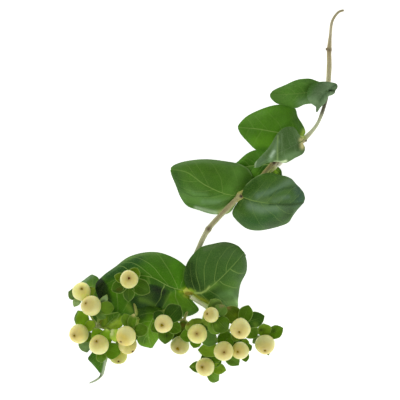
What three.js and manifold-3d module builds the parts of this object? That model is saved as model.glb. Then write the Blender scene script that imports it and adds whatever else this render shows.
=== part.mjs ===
// A cut tutsan branch lying on a table: a curved woody stem, five pairs of leaves, four bract
// leaves, and a branched head of cream berries, each seated in a calyx of five sepals.
//
// A place is [across, down, height]. Across and down are pixels of the 400-pixel photograph, which
// looks straight down on the table, and height is millimetres above the table. Everything else is
// in millimetres.

import * as THREE from "three";
import { mergeVertices } from "three/addons/utils/BufferGeometryUtils.js";
import Module from "manifold-3d";

const wasm = await Module();
wasm.setup();

// Driving dimensions

const branchLength = 224; // cut end to lowest leaf tip
const cameraHeight = 1200; // the viewpoint above the table
const stemRadius = 1.45;
const pedicelRadius = 0.7;
const leafThickness = 0.6;
const sepalThickness = 0.6;
const receptacleRadius = 1.7;
const receptacleHeight = 1.3;
const gap = 0.3; // left between pieces that touch
const leafHalfWidth = 12; // a usual leaf, from midrib to margin

// Shares of those dimensions

const receptacleFootShare = 0.6; // the receptacle's foot, of its top
const stalkEndShare = 1.2; // a flower stalk's last radius, of a pedicel's
const pedicelRiseShare = 0.35; // how far below the calyx a pedicel turns up, of its reach
const sepalRootShare = 0.75; // how far out on the receptacle a sepal starts
const sepalArchShare = 0.55; // how far out a sepal bends over, of its reach
const sepalNarrowShare = 0.22; // a sepal's least width, of its greatest
const sepalSwellFrom = 0.12; // the stretch of a half wave that a sepal's outline follows
const sepalSwellTo = 0.96;

// How finely the pieces are faceted, and what counts as one point

const stemFacets = { sides: 8, steps: 40 };
const stalkFacets = { sides: 6, stepsPerPlace: 3 };
const pedicelFacets = { sides: 6, steps: 5 };
const leafFacets = { along: 8, across: 4 };
const sepalFacets = { along: 3, across: 2 };
const berryFacets = { around: 10, upright: 7 };
const receptacleSides = 8;
const weldDistance = 1e-4;
const smallestDetail = 0.1;

// The photograph's frame, in pixels

const pictureSpan = 373.5; // branchLength as the photograph shows it
const pictureMiddle = 200;
const originAcross = 206;
const originDown = 197;
const mmPerPixel = branchLength / pictureSpan;

// The stem, from its cut end to the top node: place, then thickness as a share of stemRadius

const stemPlaces = [
  [343.7, 10.3, 0.66],
  [338.8, 12, 0.75],
  [332.5, 20.5, 0.9],
  [330.3, 35.7, 1.7],
  [329.2, 49, 3.2],
  [329.2, 66, 4.8],
  [327.6, 88, 8],
  [323, 110, 10],
  [316, 126, 12],
  [303, 140, 13.5],
  [289, 151.5, 14],
  [274, 163, 14],
  [259, 179, 14.5],
  [240, 196, 15],
  [220, 216, 15],
  [208.5, 229, 14.5],
  [199, 247, 13.5],
  [191, 270, 13.5],
  [188, 292.5, 14],
];
const stemShares = [
  0.45, 0.5, 0.55, 0.62, 0.9, 1, 0.95, 0.72, 0.7, 0.95, 0.9, 1, 0.95, 1.05, 1, 1.05, 0.95, 0.9, 1.3,
];

// Leaves: midrib and both margins from base to tip, left and right as seen looking towards the tip

const leaves = {
  leaf_1_left: {
    rib: [[327, 91, 9], [312, 92, 13.5], [298, 93.5, 14.5], [283, 94.5, 12], [270, 95, 9]],
    left: [[326.5, 93, 9.2], [318, 102, 11], [305, 104.5, 11.5], [296, 108, 11], [286, 105.5, 10],
      [277, 103.5, 9.5], [271, 98.5, 9], [269.8, 96, 9]],
    right: [[327.5, 89, 9.2], [326, 83.5, 11.5], [319, 81.5, 12], [310, 78.6, 12], [297, 80, 11],
      [282, 86, 10], [272.5, 91, 9], [270, 94, 9]],
    puff: 1.2,
  },
  leaf_1_right: {
    rib: [[328.5, 90, 9], [326.5, 91.5, 15], [319, 98, 19], [316.6, 112, 15]],
    left: [[335.2, 91.2, 10.6], [334.6, 93.2, 11], [331.5, 95.3, 11.8], [328.8, 96.2, 13],
      [327.3, 99, 14.2], [325.3, 102.8, 15], [321, 107, 15.3], [317.3, 112.2, 15]],
    right: [[335.5, 89.8, 10.6], [337.5, 87.5, 11.3], [337.2, 84.4, 12.3], [330, 82, 15],
      [318, 82, 18], [309.5, 87, 18.5], [307, 96, 18], [310.5, 103, 17.5], [315.5, 105.5, 16.5],
      [316, 112, 15]],
    puff: 1,
  },
  leaf_2_left: {
    rib: [[302, 138.5, 13.5], [288, 133.5, 12.5], [275, 132, 11.5], [258, 129, 8],
      [238, 127.3, 0.8]],
    left: [[301, 140, 13], [294, 146, 8], [283, 151, 5.5], [268, 152, 3.5], [256.5, 150, 2.5],
      [246, 140, 1.5], [240, 133, 1], [237.8, 128.4, 0.8]],
    right: [[303, 137, 13.5], [305.5, 132, 11], [303, 125, 9.5], [298, 117, 8.5], [295, 108, 7.5],
      [288, 104.5, 7], [276, 104.8, 6], [260, 109.5, 4.5], [246, 117, 2.5], [239, 124, 1],
      [237.6, 126.6, 0.8]],
    puff: 1.5,
  },
  leaf_2_right: {
    rib: [[302.5, 141, 15], [291, 147, 21.5], [272, 156, 25], [255, 166, 23]],
    left: [[302.5, 142.5, 15], [305, 148, 16.5], [303, 153.5, 18], [295, 158, 19], [286, 163, 20],
      [276, 161.5, 20.5], [266, 163.5, 21], [258, 167.5, 21.5], [254, 167.5, 22.5]],
    right: [[302.5, 139.5, 15], [299, 134, 18], [294, 127.5, 20], [285, 127.5, 21],
      [278, 133, 21], [271, 144, 22], [262, 155, 22], [255.5, 162, 22], [254, 165, 22.5]],
    puff: 1.2,
  },
  leaf_3_left: {
    rib: [[272.5, 164, 13], [258, 165, 8.5], [244, 167, 5], [228, 170, 2]],
    left: [[271.5, 165.5, 13], [264, 176, 8], [254, 182, 5.5], [240, 182, 3], [230, 175, 2],
      [227.5, 171.5, 2]],
    right: [[273.5, 162.5, 13], [269, 153.5, 9], [259, 149.5, 6.5], [247, 153.5, 5],
      [237, 162, 3.5], [229, 168.5, 2]],
    puff: 1,
  },
  leaf_3_right: {
    rib: [[274, 165, 13], [279, 174, 9.5], [287, 186, 6], [294, 200, 2]],
    left: [[275.5, 165.5, 13], [279.5, 167.8, 11.5], [281.6, 171, 10.3], [282.5, 175.5, 8.5],
      [291, 185, 6], [297, 192, 3.5], [294.8, 199.5, 2]],
    right: [[273.5, 166, 13], [268, 172, 8.6], [264, 181, 5.8], [268, 194, 3.2], [280, 201, 2],
      [292, 201.5, 2]],
    puff: 1,
  },
  leaf_4_left: {
    rib: [[239.5, 196, 15], [225, 193.8, 16.5], [205, 185, 15], [187, 172.5, 9], [171, 169, 1]],
    left: [[238.5, 197.5, 15], [235, 206, 11.5], [228, 213.5, 8.5], [214, 214, 6.5],
      [200, 210.5, 5], [187, 206, 3.5], [180, 197, 2.5], [175, 184, 1.8], [171, 173.5, 1.2],
      [170.3, 170.2, 1]],
    right: [[241.5, 194.5, 15], [249.5, 186, 9.5], [253, 178, 8], [250.5, 171, 7.5],
      [242, 164.8, 7], [222, 160.5, 7], [203, 159.3, 6.5], [185, 161.2, 5], [174, 165, 2.5],
      [170.5, 168, 1]],
    puff: 1.8,
  },
  leaf_4_right: {
    rib: [[241, 197, 15.5], [255, 201.3, 18.5], [275, 204, 20], [292, 203.3, 16],
      [304.5, 201, 10]],
    left: [[241.5, 195.5, 17], [244, 187.5, 18.8], [249, 181.8, 19.5], [255, 177.3, 19.8],
      [262, 173.8, 19.5], [270, 172.8, 18.5], [280, 175, 16.5], [287, 176.3, 14.5],
      [292, 179, 13.2], [296.3, 184.3, 11.5], [300.3, 188.3, 10.6], [304, 193, 9.7],
      [305.3, 198, 9.6]],
    right: [[239.5, 199.5, 15], [236, 204.5, 12.5], [232.3, 213.4, 8], [237, 221, 4.5],
      [247, 228.5, 0.8], [258, 230.6, 0.5], [268, 229.6, 0.6], [279, 226.6, 1.6],
      [289, 222.3, 3.4], [292.5, 217.3, 5], [298, 210, 7.5], [303.8, 203, 9.6]],
    puff: 1.8,
  },
  leaf_5_left: {
    rib: [[187, 291.5, 15], [170, 287, 20], [150, 277, 21.5], [130, 276, 19], [112, 281, 14],
      [96, 291, 9]],
    left: [[186.5, 293, 14.5], [193, 301, 12], [199, 310, 9.5], [190, 316, 6], [175, 317, 3],
      [160, 317, 1.5], [145, 319, 1.5], [132, 320, 2], [121, 320, 3], [110, 314, 5],
      [101, 304, 8], [96.3, 293, 9]],
    right: [[187, 290, 15.5], [188, 281, 15.5], [189.5, 271, 14.5], [183.5, 264, 13.7],
      [175, 258, 13], [160, 252.5, 12], [145, 252.5, 11.5], [128, 257.3, 11], [115, 266.5, 10.5],
      [103, 275.5, 9.5], [95.5, 284, 9], [95.5, 289.5, 9]],
    puff: 2,
  },
  leaf_5_right: {
    rib: [[189, 291.5, 15], [201, 293, 18.5], [206, 290.8, 19.5], [219, 280, 20.5],
      [234, 264.6, 17], [244.5, 252.5, 12]],
    left: [[188.5, 290, 15.5], [185, 284, 18], [183.9, 276, 19], [187.5, 262, 19],
      [200, 247.8, 17.5], [213, 243.8, 14], [226, 241.9, 12.5], [238, 245.6, 11.5],
      [243.6, 251.6, 12]],
    right: [[189.5, 293, 14], [196.5, 298.8, 12.8], [205, 304, 12.4], [219, 306.5, 12],
      [237.8, 308, 9], [238.4, 300, 8.5], [240.5, 284.5, 8], [246.3, 272, 9], [247, 262, 10.5],
      [245.2, 254.5, 12]],
    puff: 1.8,
  },
  bract_leaf_middle: {
    rib: [[163, 310, 7.3], [158, 311.5, 9.2], [152, 320, 9.5], [148, 333, 7.5], [151.5, 348, 2]],
    left: [[163.5, 311, 7.2], [164, 320, 8.5], [161, 333, 6], [157, 341, 4], [152.5, 348, 2]],
    right: [[162.5, 308.5, 7.5], [148, 301, 8.2], [139, 307, 8], [135, 321, 7], [136.5, 338, 2.5],
      [140, 345, 1], [150.5, 348.4, 1.8]],
    puff: 0.8,
  },
  bract_leaf_fork: {
    rib: [[104.5, 327, 8.2], [111, 320.5, 10], [119, 312.8, 9.5]],
    left: [[102.5, 327.3, 8.2], [99.3, 322, 8.8], [103, 316.3, 9.6], [110, 313, 9.8],
      [118.2, 311.8, 9.5]],
    right: [[105.5, 328.4, 8.2], [115, 330, 9.3], [122.5, 325.5, 9.8], [122.5, 317, 9.8],
      [119.8, 312.8, 9.5]],
    puff: 0.5,
  },
  bract_leaf_upper: {
    rib: [[97, 323.5, 6.8], [95, 308, 6], [93, 291, 4.5], [91.5, 274.5, 1]],
    left: [[96, 323.5, 6.8], [87, 306, 5], [81, 292, 3], [80, 283.5, 1.8], [85, 279, 1.3],
      [91, 274.6, 1]],
    right: [[98, 323.5, 6.8], [102.5, 306, 5], [103.5, 292, 3.5], [101.5, 283, 2.5],
      [97.5, 277, 1.5], [92.5, 274.4, 1]],
    puff: 0.6,
  },
  bract_leaf_lower: {
    rib: [[107, 330.5, 6.8], [103.5, 344, 7.5], [100, 357, 7], [101, 367, 5], [101.5, 374, 2.5],
      [96, 380, 1], [89.5, 383.3, 0.6]],
    left: [[108.2, 331, 6.6], [110.5, 343, 6], [108.5, 355, 5], [106.5, 363, 4], [104.8, 370, 3],
      [103, 375.5, 2], [97, 380.8, 0.8], [89.3, 383.8, 0.5]],
    right: [[106, 330, 6.8], [98, 344, 5.5], [90.5, 354.5, 4.5], [88, 358.5, 4], [92, 364, 3.5],
      [98, 371, 3.2], [100.5, 375, 2.5], [95.5, 379.3, 1.2], [89.3, 382.8, 0.7]],
    puff: 0.4,
  },
};

// Berries: place of the middle, radius in pixels, pixel of the dry tip, and the tips of the five
// sepals around it, each with its greatest width in millimetres

const berries = [
  { middle: [81.5, 291.6, 15], radius: 9.3, tip: [82.2, 288.3],
    sepals: [[69, 291.5, 12, 8], [74, 306.5, 10, 4.5], [94.5, 288, 12, 6], [80, 284, 9, 6],
      [88, 299, 8, 6]] },
  { middle: [91.1, 305.8, 22], radius: 10.2, tip: [86, 302.8],
    sepals: [[106.5, 294.8, 20, 4.2], [114.3, 308.5, 18, 8], [105.5, 318, 15, 6],
      [83, 311, 12, 6], [92, 314, 13, 6]] },
  { middle: [129, 279.3, 30], radius: 9.2, tip: [129.3, 277.8],
    sepals: [[137.5, 268.3, 27, 7], [114.5, 275.5, 26, 6], [112, 291, 25, 8], [128.5, 302, 22, 7],
      [150, 292, 26, 9.5]] },
  { middle: [78.9, 333.8, 13], radius: 9.8, tip: [74.8, 335.2],
    sepals: [[78, 311, 12, 9], [94.5, 321, 12, 6.5], [87, 352.3, 2, 8], [91.5, 340, 6, 7],
      [72, 331, 3, 5]] },
  { middle: [99.1, 344.8, 19], radius: 9.9, tip: [96.8, 340.7],
    sepals: [[94, 327.3, 15.5, 8.5], [91, 348, 12.5, 6], [102, 362.7, 12, 6.5],
      [120.5, 353.5, 14, 10], [106.5, 328.5, 14.5, 8]] },
  { middle: [126, 336, 27], radius: 10.1, tip: [120.8, 341.5],
    sepals: [[124, 313.6, 24.5, 7], [134.5, 313.5, 24.5, 5.5], [147.5, 326.5, 22, 8],
      [134, 341, 22, 5], [116, 344, 20, 5]] },
  { middle: [127.5, 345, 15.5], radius: 9.3, tip: [133, 351.2],
    sepals: [[136, 341, 10, 6], [131, 335, 14, 5], [111.5, 329, 12, 8], [120, 347, 9, 5],
      [131, 350, 7, 6]] },
  { middle: [118.3, 355.3, 8], radius: 9, tip: [118.8, 361.1],
    sepals: [[126, 352, 0.4, 5], [119, 348, 5, 5], [111, 352, 2, 5], [113, 359, 0.4, 5],
      [122, 359, 0.4, 5]] },
  { middle: [163.5, 323.8, 24], radius: 9.2, tip: [162, 324.8],
    sepals: [[180, 305.5, 21, 11.5], [181, 331, 18, 8], [165.5, 344, 18, 9.5], [151, 331, 17, 7],
      [154, 312, 17, 7]] },
  { middle: [179.9, 345.3, 12.5], radius: 9.4, tip: [177.6, 348.2],
    sepals: [[188, 342, 8, 6], [183.5, 320.5, 10, 10.5], [172, 336.5, 10, 8], [175, 351, 4, 6],
      [185, 351, 4, 6]] },
  { middle: [197.5, 333.8, 24], radius: 9.8, tip: [196.7, 333],
    sepals: [[192, 319, 21, 12], [180, 336.5, 18, 8], [193.5, 348, 18, 7], [217.5, 342, 19, 9.5],
      [211, 322, 19, 8]] },
  { middle: [211.1, 314.9, 28], radius: 7.8, tip: [206.9, 313.5],
    sepals: [[211, 299.7, 27, 9], [224.5, 305, 26, 8], [228, 330, 22, 11], [218.5, 334, 20, 9.5],
      [202, 322, 20, 8.5]] },
  { middle: [240.4, 328.3, 28], radius: 10.6, tip: [239, 331.7],
    sepals: [[224.5, 308, 25, 10.5], [249, 305.5, 24, 8.8], [264.5, 316, 23, 9.5],
      [257, 337, 20, 9], [233.5, 341.5, 19, 7]] },
  { middle: [223.7, 351.2, 21], radius: 9.9, tip: [224, 351.5],
    sepals: [[228, 331, 17, 10.5], [235.5, 338.5, 15, 7], [238.5, 365, 10, 8],
      [212, 361, 11, 6.5], [198, 350, 14, 8.5]] },
  { middle: [240.3, 350.5, 15], radius: 8.8, tip: [237.4, 351.3],
    sepals: [[245.5, 339, 12, 5], [252, 346, 11, 5], [246, 362, 9, 5], [234, 356, 7, 5],
      [237, 339.5, 10, 7]] },
  { middle: [265.1, 344.5, 13], radius: 10, tip: [264.6, 350.3],
    sepals: [[263.5, 323.5, 13, 8.5], [283, 327.8, 12, 8], [268.5, 355.5, 0.4, 5],
      [260, 351, 0.4, 5], [252.5, 343, 7, 5]] },
  { middle: [205.2, 367, 13], radius: 9.4, tip: [202, 366.5],
    sepals: [[189.5, 367, 8, 7], [203, 353.5, 9, 7], [221, 357.5, 10, 6.5], [226, 370, 8, 7],
      [218.5, 380.5, 0.4, 7]] },
];

// Flower stalks: a stalk of forks from the top node, with its radius there in millimetres, and for
// each fork the berries it carries

const cymes = {
  cyme_stalk_left: {
    root: [185.4, 295.2, 13],
    rootRadius: 1.05,
    forks: [
      { route: [[172, 306, 8], [154, 314, 6], [138, 318, 6.5]], carries: [6, 3] },
      { route: [[122, 322, 7.5], [109, 328, 7.5]], carries: [7, 8, 5] },
      { route: [[97, 325.5, 7]], carries: [1, 2, 4] },
    ],
  },
  cyme_stalk_middle: {
    root: [188.6, 295.8, 11.2],
    rootRadius: 1.05,
    forks: [
      { route: [[188, 308, 8.5], [184, 320, 7.5]], carries: [9, 11, 10] },
    ],
  },
  cyme_stalk_right: {
    root: [191, 296, 15],
    rootRadius: 1.7,
    forks: [
      { route: [[199, 301.5, 14], [207, 307, 14], [217, 322, 11]], carries: [12] },
      { route: [[226, 333, 9]], carries: [13, 14, 17] },
      { route: [[238, 337, 7]], carries: [15, 16] },
    ],
  },
};

const colours = {
  stem: { color: 0xa39a6a, roughness: 0.75 },
  stalk: { color: 0xa9b96c, roughness: 0.6 },
  leaf: { color: 0x44681f, roughness: 0.55 },
  sepal: { color: 0x5b7f22, roughness: 0.55 },
  berry: { color: 0xded8a0, roughness: 0.35 },
};

function place([across, down, height]) {
  const nearness = 1 - height / cameraHeight;
  const x = pictureMiddle - originAcross + (across - pictureMiddle) * nearness;
  const y = originDown - pictureMiddle + (pictureMiddle - down) * nearness;
  return new THREE.Vector3(x * mmPerPixel, y * mmPerPixel, height);
}

function curveThrough(places) {
  return new THREE.CatmullRomCurve3(places.map(place), false, "centripetal");
}

// A solid for cutting and joining from a closed geometry, and back again

function toSolid(geometry) {
  const bare = geometry.clone();
  bare.deleteAttribute("normal");
  bare.deleteAttribute("uv");
  const merged = mergeVertices(bare, weldDistance);
  return new wasm.Manifold(new wasm.Mesh({
    numProp: 3,
    vertProperties: Float32Array.from(merged.attributes.position.array),
    triVerts: Uint32Array.from(merged.index.array),
  }));
}

function toGeometry(solid) {
  const mesh = solid.getMesh();
  const geometry = new THREE.BufferGeometry();
  geometry.setAttribute("position", new THREE.BufferAttribute(Float32Array.from(mesh.vertProperties), 3));
  geometry.setIndex(new THREE.BufferAttribute(Uint32Array.from(mesh.triVerts), 1));
  geometry.computeVertexNormals();
  return geometry;
}

function largestBody(solid) {
  return solid.decompose().reduce((best, body) => (body.volume() > best.volume() ? body : best));
}

function moveVertices(geometry, target) {
  const position = geometry.attributes.position;
  const from = new THREE.Vector3();
  for (let i = 0; i < position.count; i += 1) {
    const to = target(from.fromBufferAttribute(position, i));
    position.setXYZ(i, to.x, to.y, to.z);
  }
  return geometry;
}

// A round rod that follows a curve, its radius given along the way, with both ends carried on past it

function rod(curve, radiusAt, { sides, steps }, overhang) {
  const frames = curve.computeFrenetFrames(steps, false);
  const cylinder = new THREE.CylinderGeometry(1, 1, 1, sides, steps);
  return toSolid(moveVertices(cylinder, (from) => {
    const along = from.y + 0.5;
    const step = Math.round(along * steps);
    const radius = radiusAt(along);
    const outward = Math.trunc(2 * along - 1) * overhang;
    return curve.getPointAt(along)
      .addScaledVector(frames.tangents[step], outward)
      .addScaledVector(frames.normals[step], from.x * radius)
      .addScaledVector(frames.binormals[step], -from.z * radius);
  }));
}

// A thin blade: a flat box whose vertices follow a surface, with a thickness to either side

function blade(surface, { along, across }, thickness) {
  const nudge = 0.01;
  const box = new THREE.BoxGeometry(1, 2, 2, along, across, 1);
  return toSolid(moveVertices(box, (from) => {
    const u = from.x + 0.5;
    const v = from.y;
    const lengthwise = surface(Math.min(u + nudge, 1), v).sub(surface(Math.max(u - nudge, 0), v));
    const sideways = surface(u, Math.min(v + nudge, 1)).sub(surface(u, Math.max(v - nudge, -1)));
    const normal = lengthwise.cross(sideways).normalize();
    return surface(u, v).addScaledVector(normal, from.z * thickness / 2);
  }));
}

function leafSolid(leaf, grow) {
  const rib = curveThrough(leaf.rib);
  const left = curveThrough(leaf.left);
  const right = curveThrough(leaf.right);
  const surface = (u, v) => {
    const middle = rib.getPointAt(u);
    const margin = (v < 0 ? right : left).getPointAt(u);
    const outward = margin.sub(middle);
    const bulge = new THREE.Vector3().crossVectors(rib.getTangentAt(u), outward).normalize();
    const rise = leaf.puff * Math.sin(Math.PI * Math.abs(v)) * Math.sin(Math.PI * u);
    const reach = Math.abs(v) * (1 + grow / leafHalfWidth);
    return middle.addScaledVector(outward, reach).addScaledVector(bulge, Math.sign(v) * rise);
  };
  return blade(surface, leafFacets, leafThickness + 2 * grow);
}

// A berry with its dry tip towards the viewer: where its middle, its axis and its foot are

function layOut(berry) {
  const middle = place(berry.middle);
  const radius = berry.radius * mmPerPixel * (1 - berry.middle[2] / cameraHeight);
  const leanAcross = (berry.tip[0] - berry.middle[0]) / berry.radius;
  const leanDown = (berry.tip[1] - berry.middle[1]) / berry.radius;
  const upright = Math.sqrt(1 - leanAcross ** 2 - leanDown ** 2);
  const axis = new THREE.Vector3(leanAcross, -leanDown, upright).normalize();
  const foot = middle.clone().addScaledVector(axis, -radius - gap);
  return { middle, radius, axis, foot };
}

function berrySolid(berry, grow) {
  const { middle, radius, axis } = layOut(berry);
  const sphere = new THREE.SphereGeometry(radius + grow, berryFacets.around, berryFacets.upright);
  sphere.rotateX(Math.PI / 2);
  sphere.applyQuaternion(new THREE.Quaternion().setFromUnitVectors(new THREE.Vector3(0, 0, 1), axis));
  sphere.translate(middle.x, middle.y, middle.z);
  return toSolid(sphere);
}

function sepalSolid(seat, axis, [across, down, height, width], grow) {
  const tip = place([across, down, height]);
  const outward = tip.clone().sub(seat).projectOnPlane(axis).normalize();
  const start = seat.clone().addScaledVector(outward, receptacleRadius * sepalRootShare);
  const reach = tip.distanceTo(start);
  const bend = start.clone().addScaledVector(outward, reach * sepalArchShare);
  bend.z = Math.max(bend.z, sepalThickness / 2 + grow);
  const rib = new THREE.QuadraticBezierCurve3(start, bend, tip);
  const viewer = new THREE.Vector3(0, 0, 1);
  const surface = (u, v) => {
    const tangent = rib.getTangent(u);
    const sideways = new THREE.Vector3().crossVectors(viewer, tangent).normalize();
    const swell = Math.sin(Math.PI * THREE.MathUtils.lerp(sepalSwellFrom, sepalSwellTo, u));
    const halfWidth = (width / 2 + grow) * THREE.MathUtils.lerp(sepalNarrowShare, 1, swell);
    return rib.getPoint(u).addScaledVector(sideways, v * halfWidth);
  };
  return blade(surface, sepalFacets, sepalThickness + 2 * grow);
}

function calyxSolid(berry, grow) {
  const { axis, foot } = layOut(berry);
  const seat = foot.clone().addScaledVector(axis, -receptacleHeight / 2);
  const footRadius = receptacleRadius * receptacleFootShare;
  const cup = new THREE.CylinderGeometry(receptacleRadius + grow, footRadius + grow,
    receptacleHeight + 2 * grow, receptacleSides);
  cup.applyQuaternion(new THREE.Quaternion().setFromUnitVectors(new THREE.Vector3(0, 1, 0), axis));
  cup.translate(seat.x, seat.y, seat.z);
  const addSepal = (calyx, sepal) => calyx.add(sepalSolid(seat, axis, sepal, grow));
  return berry.sepals.reduce(addSepal, toSolid(cup));
}

function stemSolid(grow) {
  const shareAt = (along) => {
    const at = along * (stemShares.length - 1);
    const low = Math.min(Math.floor(at), stemShares.length - 2);
    return THREE.MathUtils.lerp(stemShares[low], stemShares[low + 1], at - low);
  };
  const radiusAt = (along) => stemRadius * shareAt(along) + grow;
  return rod(curveThrough(stemPlaces), radiusAt, stemFacets, grow);
}

// Each berry's short stalk leaves its fork and comes up under the calyx along the berry's axis

function pedicel(fork, berry, grow) {
  const { axis, foot } = layOut(berry);
  const end = foot.clone().addScaledVector(axis, -receptacleHeight - gap);
  const reach = fork.distanceTo(end);
  const approach = end.clone().addScaledVector(axis, -reach * pedicelRiseShare);
  approach.z = Math.max(approach.z, pedicelRadius + grow);
  const leave = fork.clone().lerp(approach, 0.5);
  const curve = new THREE.CubicBezierCurve3(fork, leave, approach, end);
  return rod(curve, () => pedicelRadius + grow, pedicelFacets, 0);
}

function cymeSolid(cyme, grow) {
  const route = [cyme.root, ...cyme.forks.flatMap((fork) => fork.route)];
  const stalk = curveThrough(route);
  const endRadius = pedicelRadius * stalkEndShare;
  const taper = (along) => THREE.MathUtils.lerp(cyme.rootRadius, endRadius, along) + grow;
  const steps = stalkFacets.stepsPerPlace * (route.length - 1);
  let solid = rod(stalk, taper, { sides: stalkFacets.sides, steps }, grow);
  for (const fork of cyme.forks) {
    const forkPlace = place(fork.route.at(-1));
    for (const number of fork.carries) {
      solid = solid.add(pedicel(forkPlace, berries[number - 1], grow));
    }
  }
  return solid;
}

// All the pieces, those that give way to none of the others first

const pieces = [
  { name: "main_stem", colour: colours.stem, build: stemSolid },
];
for (const [name, cyme] of Object.entries(cymes)) {
  pieces.push({ name, colour: colours.stalk, build: (grow) => cymeSolid(cyme, grow) });
}
berries.forEach((berry, index) => {
  const name = `berry_${String(index + 1).padStart(2, "0")}`;
  pieces.push({ name, colour: colours.berry, build: (grow) => berrySolid(berry, grow) });
});
for (const [name, leaf] of Object.entries(leaves)) {
  pieces.push({ name, colour: colours.leaf, build: (grow) => leafSolid(leaf, grow) });
}
berries.forEach((berry, index) => {
  const name = `calyx_${String(index + 1).padStart(2, "0")}`;
  pieces.push({ name, colour: colours.sepal, build: (grow) => calyxSolid(berry, grow) });
});

function boxOf(solid) {
  const { min, max } = solid.boundingBox();
  return new THREE.Box3(new THREE.Vector3(...min), new THREE.Vector3(...max));
}

// Each later piece gives way to the ones before it, as leaves and sepals bend round what they touch

const tutsan = new THREE.Group();
const settled = [];
for (const { name, colour, build } of pieces) {
  let solid = build(0);
  for (const neighbour of settled) {
    if (neighbour.box.intersectsBox(boxOf(solid))) {
      solid = solid.subtract(neighbour.grown);
    }
  }
  solid = largestBody(solid.simplify(smallestDetail));
  const grown = build(gap);
  settled.push({ grown, box: boxOf(grown) });
  const material = new THREE.MeshStandardMaterial({ metalness: 0, ...colour });
  const mesh = new THREE.Mesh(toGeometry(solid), material);
  mesh.name = name;
  tutsan.add(mesh);
}

export default tutsan;
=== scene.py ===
import math
import random
from bisect import bisect_right

import bmesh
import bpy
from mathutils import Color, Matrix, Vector, noise


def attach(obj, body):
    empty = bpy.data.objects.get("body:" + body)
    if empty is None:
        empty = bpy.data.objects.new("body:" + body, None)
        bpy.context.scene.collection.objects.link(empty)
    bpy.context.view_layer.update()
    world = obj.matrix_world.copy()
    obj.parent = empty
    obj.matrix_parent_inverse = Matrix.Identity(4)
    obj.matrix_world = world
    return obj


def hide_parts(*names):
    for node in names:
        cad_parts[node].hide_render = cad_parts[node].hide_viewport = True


# A cut tutsan branch lying on a pale table, seen from straight above.
# A spot is [across, down, height]: pixels of the 400-pixel picture, then millimetres above the table.

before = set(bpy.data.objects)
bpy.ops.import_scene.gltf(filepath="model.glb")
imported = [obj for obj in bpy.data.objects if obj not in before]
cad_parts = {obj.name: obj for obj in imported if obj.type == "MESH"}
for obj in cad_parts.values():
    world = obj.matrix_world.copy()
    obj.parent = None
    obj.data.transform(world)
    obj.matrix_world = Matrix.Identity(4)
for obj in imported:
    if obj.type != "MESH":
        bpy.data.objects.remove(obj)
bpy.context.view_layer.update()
random.seed(17)
mm = 0.001

picture = {
    "branchLength": 0.224,  # cut end to lowest leaf tip, in metres
    "branchSpan": 373.5,  # the same in pixels
    "middle": 200,
    "originAcross": 206,
    "originDown": 197,
    "cameraHeight": 1.2,
}
pixel = picture["branchLength"] / picture["branchSpan"]


def place(spot):
    across, down, height = spot
    nearness = 1 - height * mm / picture["cameraHeight"]
    x = picture["middle"] - picture["originAcross"] + (across - picture["middle"]) * nearness
    y = picture["originDown"] - picture["middle"] + (picture["middle"] - down) * nearness
    return Vector((x * pixel, y * pixel, height * mm))


def pixelOf(point):
    nearness = 1 - point.z / picture["cameraHeight"]
    across = picture["middle"] + (point.x / pixel - picture["middle"] + picture["originAcross"]) / nearness
    down = picture["middle"] - (point.y / pixel - picture["originDown"] + picture["middle"]) / nearness
    return Vector((across, down))


# Camera and light

camera = {"sensor": 36, "filmPixels": 400, "farEnd": 10}
lights = {
    "key": {"at": (0.25, -0.9, 0.5), "size": 0.7, "power": 3.2},
    "fill": {"at": (-0.6, 0.5, 0.9), "size": 0.9, "power": 2.2},
}
# brightness near the horizon and overhead, and the heights between which it changes
sky = {"low": 1.15, "high": 0.2, "from": 0.1, "to": 0.9}
table = {"size": 3, "colour": (0.8, 0.8, 0.8, 1), "glow": 0.8, "roughness": 0.9, "gloss": 0.1}


def makeStudio():
    data = bpy.data.cameras.new("camera")
    data.sensor_width = camera["sensor"]
    data.lens = camera["sensor"] * picture["cameraHeight"] / (camera["filmPixels"] * pixel)
    data.clip_end = camera["farEnd"]
    lens = bpy.data.objects.new("camera", data)
    lens.location = place([picture["middle"], picture["middle"], 0])
    lens.location.z = picture["cameraHeight"]
    bpy.context.scene.collection.objects.link(lens)
    bpy.context.scene.camera = lens

    for name, light in lights.items():
        lamp = bpy.data.lights.new(name, "AREA")
        lamp.size = light["size"]
        lamp.energy = light["power"]
        holder = bpy.data.objects.new(name, lamp)
        holder.location = light["at"]
        holder.rotation_euler = (-Vector(light["at"])).to_track_quat("-Z", "Y").to_euler()
        bpy.context.scene.collection.objects.link(holder)

    world = bpy.data.worlds.new("studio")
    world.use_nodes = True
    bpy.context.scene.world = world
    tree = world.node_tree
    tree.nodes.clear()
    where = tree.nodes.new("ShaderNodeTexCoord")
    parts = addNode(tree, "ShaderNodeSeparateXYZ", {"Vector": where.outputs["Generated"]})
    level = addNode(tree, "ShaderNodeMapRange", {
        "Value": parts.outputs["Z"], "From Min": sky["from"], "From Max": sky["to"],
        "To Min": sky["low"], "To Max": sky["high"]}, interpolation_type="SMOOTHSTEP")
    glow = addNode(tree, "ShaderNodeBackground", {"Color": (1, 1, 1, 1), "Strength": level.outputs["Result"]})
    addNode(tree, "ShaderNodeOutputWorld", {"Surface": glow.outputs["Background"]})

    bm = bmesh.new()
    bmesh.ops.create_grid(bm, x_segments=2, y_segments=2, size=table["size"])
    floor = addObject("table", bm, [tableMaterial()])

    bpy.context.scene.view_settings.view_transform = "Standard"
    print("studio ready")


# Small helpers for meshes


def addObject(name, bm, materials):
    mesh = bpy.data.meshes.new(name)
    bm.to_mesh(mesh)
    bm.free()
    for polygon in mesh.polygons:
        polygon.use_smooth = True
    for material in materials:
        mesh.materials.append(material)
    made = bpy.data.objects.new(name, mesh)
    bpy.context.scene.collection.objects.link(made)
    return made


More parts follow.
